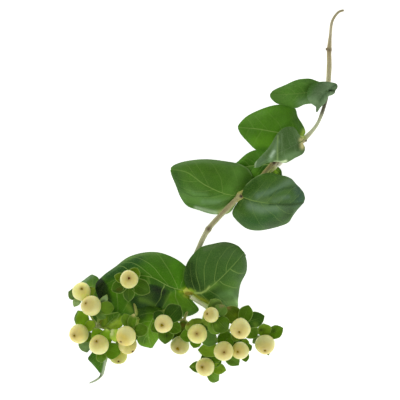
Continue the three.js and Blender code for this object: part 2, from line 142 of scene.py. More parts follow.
def addSheet(name, bm, materials, thickness):
    made = addObject(name, bm, materials)
    shell = made.modifiers.new("thickness", "SOLIDIFY")
    shell.thickness = thickness
    shell.offset = -1
    shell.material_offset = 1
    shell.material_offset_rim = 2
    return made


def stand(made, node):
    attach(made, "root")
    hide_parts(node)


class Route:
    # a smooth line through points, walked by its length from 0 to 1

    def __init__(self, points, samples=200):
        self.points = points
        first = 2 * points[0] - points[1]
        last = 2 * points[-1] - points[-2]
        self.ends = [first] + points + [last]
        self.samples = samples
        walk = [self.spotAt(i / samples) for i in range(samples + 1)]
        self.lengths = [0]
        for here, there in zip(walk, walk[1:]):
            self.lengths.append(self.lengths[-1] + (there - here).length)
        self.length = self.lengths[-1]

    def spotAt(self, t):
        reach = t * (len(self.points) - 1)
        i = min(int(reach), len(self.points) - 2)
        a, b, c, d = self.ends[i:i + 4]
        t = reach - i
        ab, bc, cd = ((q - p).length ** 0.5 for p, q in ((a, b), (b, c), (c, d)))
        leave = ((b - a) / ab - (c - a) / (ab + bc) + (c - b) / bc) * bc
        arrive = ((c - b) / bc - (d - b) / (bc + cd) + (d - c) / cd) * bc
        return (b + leave * t + (3 * (c - b) - 2 * leave - arrive) * t ** 2
                + (2 * (b - c) + leave + arrive) * t ** 3)

    def at(self, share):
        want = min(max(share, 0), 1) * self.length
        i = min(bisect_right(self.lengths, want) - 1, self.samples - 1)
        step = self.lengths[i + 1] - self.lengths[i]
        return self.spotAt((i + (want - self.lengths[i]) / step) / self.samples)

    def heading(self, share, nudge=0.002):
        return (self.at(share + nudge) - self.at(share - nudge)).normalized()

    def shareOf(self, number):
        return self.lengths[round(number / (len(self.points) - 1) * self.samples)] / self.length

    def nearest(self, spot):
        # how far along it passes closest to a pixel
        shares = [number / self.samples for number in range(self.samples + 1)]
        return min(shares, key=lambda share: (pixelOf(self.at(share)) - Vector(spot)).length)


def bump(value, width):
    return math.exp(-(value / width) ** 2)


toning = {
    "gloss": 0.012,  # what shine adds to every colour
    "darkest": 0.001,
    "lift": 1.1,
    "patches": 90,  # of uneven colour, to a metre
    "crispness": 2,  # of a stain's margin, where a stain names none
}


def shade(red, green, blue):
    # a colour as the picture shows it, as the light here needs it
    seen = Color((red / 255, green / 255, blue / 255)).from_srgb_to_scene_linear()
    channels = (seen.r, seen.g, seen.b)
    return Vector([max(one - toning["gloss"], toning["darkest"]) * toning["lift"] for one in channels])


def paint(bm, layerName, toneAt):
    layer = bm.verts.layers.float_color.get(layerName) or bm.verts.layers.float_color.new(layerName)
    for vert in bm.verts:
        vert[layer] = (*toneAt(vert.co), 1)


def awayFrom(seen, spots, filled):
    # pixels from a spot to the nearest point of a line, or to a patch that the line goes round
    nearest = min((seen - spot).length for spot in spots)
    inside = False
    for here, there in zip(spots, spots[1:]):
        if filled and (here.y > seen.y) != (there.y > seen.y):
            inside ^= seen.x < here.x + (there.x - here.x) * (seen.y - here.y) / (there.y - here.y)
        along = there - here
        share = min(max((seen - here).dot(along) / along.length_squared, 0), 1)
        nearest = min(nearest, (seen - here - along * share).length)
    return 0 if inside else nearest


def readStainsAndPaintedLight(stainsAndPaintedLight):
    # stains, and patches of painted shade, painted shadow, painted sheen and painted highlight, along lines,
    # each [spots, reach in pixels, colour, strength] and its crispness if it has its own;
    # a line that ends where it starts is filled
    marks = []
    for spots, reach, hue, strength, *own in stainsAndPaintedLight:
        filled = len(spots) > 2 and spots[0] == spots[-1]
        crisp = own[0] if own else toning["crispness"]
        marks.append(([Vector(spot) for spot in spots], filled, reach, shade(*hue), strength, crisp))
    return marks


# blends each stain, and each patch of painted shade or painted light, into the colour
def addStainsAndPaintedLight(tone, point, marks):
    seen = pixelOf(point)
    for spots, filled, reach, hue, strength, crisp in marks:
        tone = tone.lerp(hue, strength * math.exp(-(awayFrom(seen, spots, filled) / reach) ** crisp))
    return tone


def stainedAndPaintedLight(base, stainsAndPaintedLight, spread=0.06, lift=(1, 1, 1)):
    baseTone = shade(*base)
    marks = readStainsAndPaintedLight(stainsAndPaintedLight)
    lift = Matrix.Diagonal(lift)
    patches = toning["patches"]
    return lambda point: lift @ addStainsAndPaintedLight(baseTone, point, marks) * (1 + spread * noise.noise(point * patches))


def camel(name):
    first, *others = name.split("_")
    return first + "".join(word.capitalize() for word in others)


# Small helpers for materials


def fillSockets(tree, made, inputs):
    for name, value in inputs.items():
        if isinstance(value, bpy.types.NodeSocket):
            tree.links.new(value, made.inputs[name])
        else:
            made.inputs[name].default_value = value


def addNode(tree, kind, inputs=None, **settings):
    made = tree.nodes.new(kind)
    for name, value in settings.items():
        setattr(made, name, value)
    fillSockets(tree, made, inputs or {})
    return made


def calc(tree, operation, first, second=0.5):
    return addNode(tree, "ShaderNodeMath", {0: first, 1: second}, operation=operation).outputs[0]


def blendColours(tree, factor, first, second, kind="MIX"):
    made = addNode(tree, "ShaderNodeMix", {0: factor, 6: first, 7: second}, data_type="RGBA", blend_type=kind)
    return made.outputs[2]


def remap(tree, value, low, high, toLow=0.0, toHigh=1.0):
    made = addNode(tree, "ShaderNodeMapRange", {
        "Value": value, "From Min": low, "From Max": high, "To Min": toLow, "To Max": toHigh})
    return made.outputs["Result"]


def attribute(tree, name, output="Fac"):
    return addNode(tree, "ShaderNodeAttribute", attribute_name=name).outputs[output]


def newGroup(name, inputs, outputs):
    group = bpy.data.node_groups.new(name, "ShaderNodeTree")
    for socket, kind in inputs.items():
        group.interface.new_socket(name=socket, in_out="INPUT", socket_type="NodeSocket" + kind)
    for socket, kind in outputs.items():
        group.interface.new_socket(name=socket, in_out="OUTPUT", socket_type="NodeSocket" + kind)
    return group, group.nodes.new("NodeGroupInput"), group.nodes.new("NodeGroupOutput")


def placeGroup(tree, name, inputs):
    return addNode(tree, "ShaderNodeGroup", inputs, node_tree=groups[name])


def placeMottle(tree, colour, coarse, fine, strength):
    return placeGroup(tree, "mottle", {
        "Colour": colour, "Coarse": coarse, "Fine": fine, "Strength": strength})


def addRelief(tree, shader, height, strength, distance):
    raised = addNode(tree, "ShaderNodeBump", {
        "Height": height, "Strength": strength, "Distance": distance})
    tree.links.new(raised.outputs["Normal"], shader.inputs["Normal"])


def startMaterial(name):
    material = bpy.data.materials.new(name)
    material.use_nodes = True
    tree = material.node_tree
    shader = tree.nodes["Principled BSDF"]
    return material, tree, shader


# Mottling: a colour made a little lighter and darker over two sizes of patch

mottleBuild = {"coarseShare": 0.6, "fineShare": 0.4, "swing": 4, "low": 0.3, "high": 0.7}


def makeMottle():
    group, given, result = newGroup(
        "mottle",
        {"Colour": "Color", "Coarse": "Float", "Fine": "Float", "Strength": "Float"},
        {"Colour": "Color", "Value": "Float"})
    where = group.nodes.new("ShaderNodeTexCoord").outputs["Object"]
    coarse = addNode(group, "ShaderNodeTexNoise", {
        "Vector": where, "Scale": given.outputs["Coarse"], "Detail": 3, "Roughness": 0.55})
    fine = addNode(group, "ShaderNodeTexNoise", {
        "Vector": where, "Scale": given.outputs["Fine"], "Detail": 2, "Roughness": 0.6})
    both = calc(group, "ADD", calc(group, "MULTIPLY", coarse.outputs["Fac"], mottleBuild["coarseShare"]),
                calc(group, "MULTIPLY", fine.outputs["Fac"], mottleBuild["fineShare"]))
    swing = calc(group, "MULTIPLY", calc(group, "SUBTRACT", both, 0.5), given.outputs["Strength"])
    factor = calc(group, "ADD", calc(group, "MULTIPLY", swing, mottleBuild["swing"]), 1)
    grey = addNode(group, "ShaderNodeCombineColor", {"Red": factor, "Green": factor, "Blue": factor})
    tinted = blendColours(group, 1.0, given.outputs["Colour"], grey.outputs["Color"], "MULTIPLY")
    group.links.new(tinted, result.inputs["Colour"])
    group.links.new(both, result.inputs["Value"])
    return group


# The net of small veins that fills a leaf or sepal, and its pin-point glands

netBuild = {"bendScale": 600.0, "bend": 0.0006, "glandScale": 1500.0, "glandFrom": 0.1, "glandTo": 0.24}


def makeNet():
    group, given, result = newGroup(
        "veinNet", {"Scale": "Float", "Width": "Float"}, {"Net": "Float", "Glands": "Float"})
    where = group.nodes.new("ShaderNodeTexCoord").outputs["Object"]
    bend = addNode(group, "ShaderNodeTexNoise", {
        "Vector": where, "Scale": netBuild["bendScale"], "Detail": 1})
    nudge = addNode(group, "ShaderNodeVectorMath", {
        0: bend.outputs["Color"], 1: [netBuild["bend"]] * 3}, operation="MULTIPLY")
    bent = addNode(group, "ShaderNodeVectorMath", {0: where, 1: nudge.outputs[0]}, operation="ADD")
    cells = addNode(group, "ShaderNodeTexVoronoi", {
        "Vector": bent.outputs[0], "Scale": given.outputs["Scale"]}, feature="DISTANCE_TO_EDGE")
    line = addNode(group, "ShaderNodeMapRange", {
        "Value": cells.outputs["Distance"], "From Min": 0.0, "From Max": given.outputs["Width"],
        "To Min": 1.0, "To Max": 0.0}, interpolation_type="SMOOTHSTEP")
    dots = addNode(group, "ShaderNodeTexVoronoi", {"Vector": where, "Scale": netBuild["glandScale"]})
    pin = remap(group, dots.outputs["Distance"], netBuild["glandFrom"], netBuild["glandTo"], 1.0, 0.0)
    group.links.new(line.outputs["Result"], result.inputs["Net"])
    group.links.new(pin, result.inputs["Glands"])
    return group


# Long streaks that follow a stalk, read from its own grain attribute


def makeStreaks():
    group, given, result = newGroup(
        "streaks", {"Scale": "Float", "Contrast": "Float"}, {"Streaks": "Float"})
    grain = attribute(group, "grain", "Vector")
    stripes = addNode(group, "ShaderNodeTexNoise", {
        "Vector": grain, "Scale": given.outputs["Scale"], "Detail": 4, "Roughness": 0.65})
    swing = calc(group, "MULTIPLY", calc(group, "SUBTRACT", stripes.outputs["Fac"], 0.5),
                 given.outputs["Contrast"])
    level = addNode(group, "ShaderNodeClamp", {"Value": calc(group, "ADD", swing, 0.5)})
    group.links.new(level.outputs["Result"], result.inputs["Streaks"])
    return group


groups = {"mottle": makeMottle(), "net": makeNet(), "streaks": makeStreaks()}


def tableMaterial():
    material, tree, shader = startMaterial("paleTable")
    look = placeMottle(tree, table["colour"], coarse=4.0, fine=60.0, strength=0.01)
    tree.links.new(look.outputs["Colour"], shader.inputs["Base Color"])
    shader.inputs["Roughness"].default_value = table["roughness"]
    shader.inputs["Specular IOR Level"].default_value = table["gloss"]
    shader.inputs["Emission Color"].default_value = (1, 1, 1, 1)
    shader.inputs["Emission Strength"].default_value = table["glow"]
    return material


# Leaf and sepal finishes: one for the upper face, one for the underside, one for the cut of the margin

bladeLooks = {
    "leafUpper": {
        "tone": "tone", "vein": (166, 198, 104), "veinShare": 0.6, "ribShare": 0.75, "netShare": 0.1,
        "veinWidth": 0.26, "ribWidth": 0.36, "edge": (118, 148, 76), "edgeShare": 0.3, "edgeWidth": 0.3,
        "netScale": 850.0, "roughness": 0.5, "relief": 0.5, "mottle": 0.2,
    },
    "leafUnder": {
        "tone": "toneUnder", "vein": (140, 164, 120), "veinShare": 0.4, "ribShare": 0.6, "netShare": 0.16,
        "veinWidth": 0.22, "ribWidth": 0.45, "edge": (124, 148, 100), "edgeShare": 0.3, "edgeWidth": 0.3,
        "netScale": 850.0, "roughness": 0.52, "relief": 0.6, "mottle": 0.18,
    },
    "sepalUpper": {
        "tone": "tone", "vein": (140, 168, 78), "veinShare": 0.3, "ribShare": 0.4, "netShare": 0.1,
        "veinWidth": 0.1, "ribWidth": 0.2, "edge": (146, 174, 88), "edgeShare": 0.75, "edgeWidth": 0.6,
        "netScale": 1200.0, "roughness": 0.48, "relief": 0.5, "mottle": 0.22,
    },
    "sepalUnder": {
        "tone": "toneUnder", "vein": (140, 166, 84), "veinShare": 0.35, "ribShare": 0.5, "netShare": 0.12,
        "veinWidth": 0.1, "ribWidth": 0.2, "edge": (146, 172, 96), "edgeShare": 0.5, "edgeWidth": 0.4,
        "netScale": 1200.0, "roughness": 0.5, "relief": 0.5, "mottle": 0.2,
    },
}


bladeFinish = {
    "coarse": 110.0, "fine": 700.0, "netWidth": 0.09, "ribCore": 0.35, "veinCore": 0.4, "glandShare": 0.1,
    "smoother": 0.06, "rougher": 0.08, "netRelief": -0.5, "patchRelief": 0.8, "veinRelief": -0.8,
    "reliefDistance": 0.00008, "gloss": 0.15,
}


def bladeMaterial(name):
    look = bladeLooks[name]
    finish = bladeFinish
    material, tree, shader = startMaterial(name)
    spots = placeMottle(
        tree, attribute(tree, look["tone"], "Color"), finish["coarse"], finish["fine"], look["mottle"])
    net = placeGroup(tree, "net", {"Scale": look["netScale"], "Width": finish["netWidth"]})

    # how near the midrib, the side veins and the margin are
    ribCore = look["ribWidth"] * finish["ribCore"]
    rib = remap(tree, attribute(tree, "ribAway"), ribCore, look["ribWidth"], 1.0, 0.0)
    rib = calc(tree, "MULTIPLY", rib, attribute(tree, "ribStrength"))
    phase = attribute(tree, "veinPhase")
    turned = calc(tree, "FRACT", calc(tree, "ADD", phase, 0.5))
    swing = calc(tree, "ABSOLUTE", calc(tree, "SUBTRACT", turned, 0.5))
    away = calc(tree, "MULTIPLY", swing, attribute(tree, "veinGap"))
    vein = remap(tree, away, look["veinWidth"] * finish["veinCore"], look["veinWidth"], 1.0, 0.0)
    vein = calc(tree, "MULTIPLY", vein, attribute(tree, "veinStrength"))
    edge = remap(tree, attribute(tree, "edgeAway"), 0.0, look["edgeWidth"], 1.0, 0.0)

    veinColour = (*shade(*look["vein"]), 1)
    edgeColour = (*shade(*look["edge"]), 1)
    colour = spots.outputs["Colour"]
    for amount, share, over in (
            (net.outputs["Net"], look["netShare"], veinColour),
            (net.outputs["Glands"], finish["glandShare"], veinColour),
            (edge, look["edgeShare"], edgeColour),
            (vein, look["veinShare"], veinColour),
            (rib, look["ribShare"], veinColour)):
        colour = blendColours(tree, calc(tree, "MULTIPLY", amount, share), colour, over)
    tree.links.new(colour, shader.inputs["Base Color"])

    rough = remap(tree, spots.outputs["Value"], mottleBuild["low"], mottleBuild["high"],
                  look["roughness"] - finish["smoother"], look["roughness"] + finish["rougher"])
    tree.links.new(rough, shader.inputs["Roughness"])
    height = calc(tree, "ADD", calc(tree, "MULTIPLY", net.outputs["Net"], finish["netRelief"]),
                  calc(tree, "MULTIPLY", spots.outputs["Value"], finish["patchRelief"]))
    height = calc(tree, "ADD", height, calc(tree, "MULTIPLY", vein, finish["veinRelief"]))
    addRelief(tree, shader, height, look["relief"], finish["reliefDistance"])
    shader.inputs["Specular IOR Level"].default_value = finish["gloss"]
    return material


def edgeMaterial(name, colour):
    material, tree, shader = startMaterial(name)
    look = placeMottle(tree, (*shade(*colour), 1), coarse=300.0, fine=1500.0, strength=0.3)
    tree.links.new(look.outputs["Colour"], shader.inputs["Base Color"])
    shader.inputs["Roughness"].default_value = 0.5
    return material


# A blade's own measures, kept on its vertices for the finishes


class BladeLayers:
    names = ("ribAway", "ribStrength", "veinPhase", "veinGap", "veinStrength", "edgeAway")

    def __init__(self, bm):
        self.layers = {name: bm.verts.layers.float.new(name) for name in self.names}

    def write(self, vert, **values):
        for name, value in values.items():
            vert[self.layers[name]] = value


# Leaves

leafBuild = {
    "stepsAlong": 108,
    "stepsAcross": 72,
    "thickness": 0.34,
    "back": (100, 128, 84),  # the side turned away, where a leaf names none
    "ribEnd": 1.3,  # the share of the blade at which the midrib would fade out, where a leaf names none
    "ribDepth": 0.34, "ribBroad": 0.55, "ribTaper": 0.7,
    "veinDepth": 0.07, "veinBroad": 0.42, "veinFade": 0.5,
    "veinSlant": 0.75,  # a gap measured across slanting veins, to the same gap along the midrib
    "waver": 0.012, "waverPatches": (6, 4),
    "fadeIn": 12, "fadeOut": 5,
    "pillow": 0.12, "ripple": 0.45, "ripplePatches": (5, 2.2),
    "fullWidth": {"rib": 2, "pillow": 2, "ripple": 8},  # millimetres, below which each is weaker
    "lift": (1.24, 1.28, 1.1),  # leaves lean away from the lamps, so their colours are lifted
}

# side veins where a leaf names none
plainVeins = {"count": 5, "jitter": 0.2, "reach": 0.85, "sweep": (0.22, 0.38), "bend": 1.3, "steps": 6}
seenVeins = {"leastStep": 0.02, "samples": 40, "steps": 10}

# Each leaf: midrib and both margins from base to tip, left and right as seen looking towards the tip,
# then the side veins that show, the colour and its stains, among them painted shade, painted shadows and
# painted sheen
leaves = {
    "leaf_1_left": {
        "rib": [[327, 91, 9], [312, 92, 13.5], [298, 93.5, 14.5], [283, 94.5, 12], [270, 95, 9]],
        "left": [[326.5, 93, 9.2], [318, 102, 11], [305, 104.5, 11.5], [296, 108, 11], [286, 105.5, 10],
                 [277, 103.5, 9.5], [271, 98.5, 9], [269.8, 96, 9]],
        "right": [[327.5, 89, 9.2], [326, 83.5, 11.5], [319, 81.5, 12], [310, 78.6, 12], [297, 80, 11],
                  [282, 86, 10], [272.5, 91, 9], [270, 94, 9]],
        "puff": 1.2, "tone": (76, 116, 46), "veinShow": 0.2, "ribShow": 0.35,
        "stainsAndPaintedLight": [
            [[[314, 84], [307, 92]], 6, (64, 98, 42), 0.85],
            # painted sheen: grey shine on the leaf's right end
            [[[310, 101], [301, 103]], 5.5, (92, 122, 80), 0.9],
            # painted shade where the leaf goes under near the stem
            [[[325, 92]], 3.5, (48, 70, 46), 0.8],
            [[[280, 88], [297, 81.5], [312, 80]], 1.8, (62, 96, 40), 0.6],
            [[[277, 98], [288, 100]], 5, (84, 122, 56), 0.6],
        ],
    },
    "leaf_1_right": {
        "rib": [[328.5, 90, 10], [326.5, 91.5, 15], [319, 98, 19], [316.6, 112, 15]],
        "left": [[335.4, 90.6, 10.6], [334.6, 93.2, 11], [331.5, 95.3, 11.8], [328.8, 96.2, 13],
                 [327.3, 99, 14.2], [325.3, 102.8, 15], [321, 107, 15.3], [317.3, 112.2, 15]],
        "right": [[335.4, 90.6, 10.6], [337.5, 87.5, 11.3], [337.2, 84.4, 12.3], [330, 82, 15],
                  [318, 82, 18], [309.5, 87, 18.5], [307, 96, 18], [310.5, 103, 17.5],
                  [315.5, 105.5, 16.5], [316, 112, 15]],
        "puff": 1, "tone": (84, 106, 76), "back": (64, 100, 38), "underneath": True,
        "veinShow": 0.4, "ribShow": 0.2, "plainEdge": 9,
        "stainsAndPaintedLight": [
            [[[315, 80], [309, 87], [306, 94]], 6, (62, 98, 40), 0.97, 2.5],
            # painted sheen, grey, carried on from the leaf beside
            [[[306, 101], [314, 101]], 4.5, (110, 136, 102), 0.9],
            [[[325, 83.5], [331, 84.5]], 2.2, (98, 120, 92), 0.8],
            [[[336, 85], [331, 88], [327, 92]], 1.4, (60, 80, 58), 0.85],
            [[[333, 93]], 2.6, (116, 136, 110), 0.85],
            # painted shade near the stem, where the leaf goes under
            [[[327, 91], [323, 96], [320, 101]], 2, (62, 86, 56), 0.8],
            [[[325, 99], [320, 106]], 2, (90, 112, 82), 0.7],
        ],
    },
    "leaf_2_left": {
        "rib": [[302, 138.5, 13.5], [288, 133.5, 12.5], [275, 132, 11.5], [258, 129, 8], [238, 127.3, 0.8]],
        "left": [[301, 140, 13], [294, 146, 8], [283, 151, 5.5], [268, 152, 3.5], [256.5, 150, 2.5],
                 [246, 140, 1.5], [240, 133, 1], [237.8, 128.4, 0.8]],
        "right": [[303, 137, 13.5], [305.5, 132, 11], [303, 125, 9.5], [298, 117, 8.5], [295, 108, 7.5],
                  [288, 104.5, 7], [276, 104.8, 6], [260, 109.5, 4.5], [246, 117, 2.5], [239, 124, 1],
                  [237.6, 126.6, 0.8]],
        "puff": 1.5, "tone": (74, 119, 32), "veinShow": 0.26,
        "veins": {
            "left": [
                [[277, 132.3], [276.5, 137], [272, 144], [266, 150]],
                [[262, 129.7], [258, 137], [253, 144]],
                [[250, 128], [247, 133], [245, 138]],
            ],
            "right": [
                [[293, 135], [293, 125], [288, 112]],
                [[283, 132], [279, 124], [273, 117], [262, 109]],
                [[268, 131], [262, 124], [255, 116]],
                [[254, 128.5], [250, 122], [246, 118]],
            ],
        },
        "stainsAndPaintedLight": [
            # painted shade on the basal lobe
            [[[298, 120], [303, 130]], 6.5, (66, 98, 46), 0.85, 2.5],
            [[[297, 112]], 5, (80, 110, 62), 0.6],
            [[[248, 122], [262, 113]], 4, (84, 126, 48), 0.5],
            # painted light: the lower part made lighter against the shadow that the leaf above casts here
            [[[268, 142], [256, 143]], 7, (96, 146, 40), 0.8],
            [[[243, 127], [252, 131]], 5, (64, 106, 26), 0.7],
            [[[285, 120], [284, 124]], 5, (82, 128, 44), 0.6],
            # painted shadow of the opposite leaf, which lies over this one
            [[[276, 139], [281, 129], [290, 124]], 2.5, (60, 98, 32), 0.5],
            [[[301, 137], [304, 131]], 2.2, (150, 176, 76), 0.85],
        ],
    },
    "leaf_2_right": {
        "rib": [[302.5, 141, 15], [291, 147, 21.5], [272, 156, 25], [255, 166, 23]],
        "left": [[302.5, 142.5, 15], [305, 148, 16.5], [303, 153.5, 18], [295, 158, 19], [286, 163, 20],
                 [276, 161.5, 20.5], [266, 163.5, 21], [258, 167.5, 21.5], [254, 167.5, 22.5]],
        "right": [[302.5, 139.5, 15], [299, 134, 18], [294, 127.5, 20], [285, 127.5, 21], [278, 133, 21],
                  [271, 144, 22], [262, 155, 22], [255.5, 162, 22], [254, 165, 22.5]],
        "puff": 1.2, "tone": (76, 102, 60), "back": (64, 100, 38), "underneath": True,
        "veinShow": 0.5, "ribShow": 0.3,
        "veins": {
            "left": [
                [[294, 145.5], [296, 151], [300, 155]],
                [[284, 150.5], [285, 156], [288, 161]],
                [[274, 155], [274, 159], [275, 162]],
            ],
            "right": [
                [[297, 144], [294, 137], [292, 130]],
                [[291, 147], [289, 140], [287, 130]],
                [[284, 150], [282, 143], [281, 133]],
                [[277, 153.5], [275, 148], [273, 142]],
                [[268, 158], [265, 155], [263, 153]],
            ],
        },
        "stainsAndPaintedLight": [
            [[[287, 131], [291, 140], [291, 149]], 5.5, (68, 96, 52), 0.85, 2.5],
            # painted sheen along the bend of the blade
            [[[278, 142], [274, 152], [270, 160]], 2.4, (110, 138, 104), 0.85],
            # painted highlight: a white-blue glint
            [[[274, 151.5], [271, 156]], 1.6, (164, 186, 166), 0.95],
            # painted highlight along the fold
            [[[277.8, 136], [277.4, 148], [277.5, 160]], 0.8, (126, 152, 98), 0.8],
            [[[281.8, 134], [281.8, 154]], 0.9, (104, 130, 90), 0.6],
            [[[286, 157], [298, 153]], 4, (96, 122, 84), 0.85],
            [[[275, 162.2], [281, 162.4], [286, 161]], 1.3, (214, 230, 194), 0.8],
            [[[263, 160], [258, 164]], 3.5, (84, 108, 80), 0.8],
            [[[256, 161], [254.8, 167]], 0.9, (150, 170, 140), 0.7],
            [[[297, 139], [298, 150]], 1.8, (56, 82, 42), 0.7],
            [[[301.5, 140], [302.5, 147]], 2.3, (196, 186, 134), 0.9],
        ],
    },
    "leaf_3_left": {
        "rib": [[272.5, 164, 13], [258, 165, 8.5], [244, 167, 5], [228, 170, 2]],
        "left": [[271.5, 165.5, 13], [264, 176, 8], [254, 182, 5.5], [240, 182, 3], [230, 175, 2],
                 [227.5, 171.5, 2]],
        "right": [[273.5, 162.5, 13], [269, 153.5, 9], [259, 149.5, 6.5], [247, 153.5, 5], [237, 162, 3.5],
                  [229, 168.5, 2]],
        "puff": 1, "tone": (66, 112, 20), "veinShow": 0.3,
        "stainsAndPaintedLight": [
            # painted shadow at the base, under the leaf above
            [[[263, 168], [268, 166]], 4, (44, 76, 22), 0.7],
            [[[241, 159], [252, 154.5]], 4, (76, 120, 34), 0.7],
            # painted light: a patch made lighter against the shade of the leaf beside
            [[[255, 173]], 4.5, (100, 150, 52), 0.8],
        ],
    },
    "leaf_3_right": {
        "rib": [[274, 165, 13], [279, 174, 9.5], [287, 186, 6], [294, 200, 2]],
        "left": [[275.5, 165.5, 13], [279.5, 167.8, 11.5], [281.6, 171, 10.3], [282.5, 175.5, 8.5],
                 [291, 185, 6], [297, 192, 3.5], [294.8, 199.5, 2]],
        "right": [[273.5, 166, 13], [268, 172, 8.6], [264, 181, 5.8], [268, 194, 3.2], [280, 201, 2],
                  [292, 201.5, 2]],
        "puff": 1, "tone": (66, 108, 24), "veinShow": 0.3,
        "stainsAndPaintedLight": [
            [[[280.5, 169], [282, 174]], 1.5, (48, 76, 30), 0.7],
            # pale yellow-green base, made paler still as painted light against the shade of the leaves above
            [[[274.5, 169], [276.5, 172]], 2.4, (200, 240, 90), 0.9],
            [[[270, 168], [267, 173]], 2.4, (196, 194, 116), 0.9],
        ],
    },
    "leaf_4_left": {
        "rib": [[239.5, 196, 15], [225, 193.8, 16.5], [205, 185, 15], [187, 172.5, 9], [171, 169, 1]],
        "left": [[238.5, 197.5, 15], [235, 206, 11.5], [228, 213.5, 8.5], [214, 214, 6.5],
                 [200, 210.5, 5], [187, 206, 3.5], [180, 197, 2.5], [175, 184, 1.8], [171, 173.5, 1.2],
                 [170.3, 170.2, 1]],
        "right": [[241.5, 194.5, 15], [249.5, 186, 9.5], [253, 178, 8], [250.5, 171, 7.5], [242, 164.8, 7],
                  [222, 160.5, 7], [203, 159.3, 6.5], [185, 161.2, 5], [174, 165, 2.5], [170.5, 168, 1]],
        "puff": 1.8, "tone": (72, 110, 40), "veinShow": 0.36, "ribShow": 0.9,
        "veins": {
            "left": [
                [[233, 195.5], [225, 201.5], [214, 206], [201, 207], [191, 205]],
                [[226, 194], [217, 196.8], [206, 198], [194, 197.5], [184, 193.5]],
                [[213, 189.5], [203, 191.5], [192, 190.5], [180, 186.5]],
                [[199, 181.5], [190, 181.5], [177, 177.5]],
            ],
            "right": [
                [[234, 195], [238, 188], [237, 181], [234.5, 174], [230, 164]],
                [[222, 193], [221.5, 185], [220.5, 179], [217, 172], [211, 163]],
                [[209, 187.5], [206, 180], [200, 170], [194, 162]],
                [[198, 180], [192, 172], [184, 163.5]],
            ],
        },
        "stainsAndPaintedLight": [
            [[[214, 170], [190, 167]], 8, (64, 98, 30), 0.7],
            [[[174, 166], [185, 163], [203, 161], [222, 162], [238, 165]], 2.2, (84, 112, 68), 0.75],
            # painted sheen: the lower half lighter and greyer
            [[[190, 194], [206, 202], [222, 203]], 8, (92, 130, 68), 0.85],
            # painted shade on the tip, which slopes away to the left
            [[[175, 174], [179, 188]], 5.5, (46, 80, 2), 0.85],
            # painted sheen, these three: a pale bluish band along the lower margin and a paler patch above it
            [[[196, 207.5], [206, 210.5], [216, 212.5]], 2, (156, 178, 148), 0.85],
            [[[220, 212], [228, 211.5]], 2.4, (150, 158, 108), 0.85],
            [[[203, 201.8], [219, 202]], 2.6, (104, 138, 92), 0.8],
            [[[183.5, 192], [192.5, 196.3], [208, 197], [222, 193.6]], 0.8, (58, 92, 36), 0.6],
            [[[187.5, 203.5], [201, 206.3], [215.5, 205.6], [227, 200]], 0.8, (62, 98, 42), 0.65],
            [[[194, 192.5], [206, 193.5]], 2.2, (104, 142, 86), 0.7],
            [[[226, 209], [236, 204]], 3, (148, 170, 112), 0.6],
            [[[238, 173], [236, 184], [230, 190]], 6, (92, 134, 58), 0.8],
            [[[247, 180], [250, 184]], 3, (58, 92, 40), 0.7],
            [[[184, 176], [196, 191], [212, 193]], 2.5, (66, 98, 38), 0.6],
            [[[239, 163.5], [247, 168], [252, 175]], 0.8, (132, 158, 108), 0.6],
        ],
    },
    "leaf_4_right": {
        "rib": [[241, 197, 15.5], [255, 201.3, 18.5], [275, 204, 20], [292, 203.3, 16], [304.5, 201, 10]],
        "left": [[241.5, 195.5, 17], [244, 187.5, 18.8], [249, 181.8, 19.5], [255, 177.3, 19.8],
                 [262, 173.8, 19.5], [270, 172.8, 18.5], [280, 175, 16.5], [287, 176.3, 14.5],
                 [292, 179, 13.2], [296.3, 184.3, 11.5], [300.3, 188.3, 10.6], [304, 193, 9.7],
                 [305.3, 198, 9.6]],
        "right": [[239.5, 199.5, 15], [236, 204.5, 12.5], [232.3, 213.4, 8], [237, 221, 4.5],
                  [247, 228.5, 0.8], [258, 230.6, 0.5], [268, 229.6, 0.6], [279, 226.6, 1.6],
                  [289, 222.3, 3.4], [292.5, 217.3, 5], [298, 210, 7.5], [303.8, 203, 9.6]],
        "puff": 1.8, "tone": (68, 98, 50), "veinShow": 0.24, "ribEnd": 0.55, "quilt": 2,
        "veins": {
            "left": [
                [[248, 198.5], [256, 192], [263, 183], [270, 175]],
                [[255, 201], [264, 193], [271, 184], [280, 177]],
                [[266, 202.5], [272, 196], [278, 188], [288, 179.5]],
                [[278, 203.5], [284, 197], [290, 191], [297, 187]],
                [[290, 203], [296, 198], [302, 192]],
            ],
            "right": [
                [[244, 198], [241, 204], [238, 214], [240, 222]],
                [[248, 199], [251, 204], [253, 211], [257, 219], [265, 228]],
                [[260, 202], [265, 208], [273, 214], [281, 222]],
                [[275, 204], [281, 209], [291, 214]],
            ],
        },
        "stainsAndPaintedLight": [
            # painted shade on the upper part near the base
            [[[246, 191], [254, 184]], 6.5, (48, 78, 18), 0.9, 2.5],
            [[[264, 177], [274, 177]], 4, (70, 108, 40), 0.7],
            # painted sheen, these two: grey shine along the upper veins
            [[[258, 196], [276, 190], [290, 181]], 3.6, (94, 120, 98), 0.8],
            [[[274, 200], [288, 197]], 2.6, (90, 116, 96), 0.8],
            [[[262, 200], [280, 199]], 3.5, (84, 108, 68), 0.6],
            # painted sheen on the lower half near the midrib
            [[[250, 206], [262, 210], [276, 209]], 4.5, (98, 122, 100), 0.85],
            [[[286, 208], [293, 206]], 6, (64, 86, 64), 0.8],
            # painted shade with a grey painted sheen on the right end
            [[[298, 189], [301, 196], [300, 201]], 6, (54, 80, 66), 0.9],
            # painted shade in the creases, these two
            [[[270, 204], [290, 204.8], [303, 203]], 1.4, (36, 58, 28), 0.8],
            [[[270, 196], [276, 191.5], [284, 188.5], [293, 187]], 1.4, (50, 76, 44), 0.7],
            # painted shade on the lower half
            [[[246, 219], [252, 222], [262, 222], [274, 217]], 6.5, (34, 72, 2), 0.85],
            [[[239, 208], [244, 214]], 4.5, (62, 92, 36), 0.7],
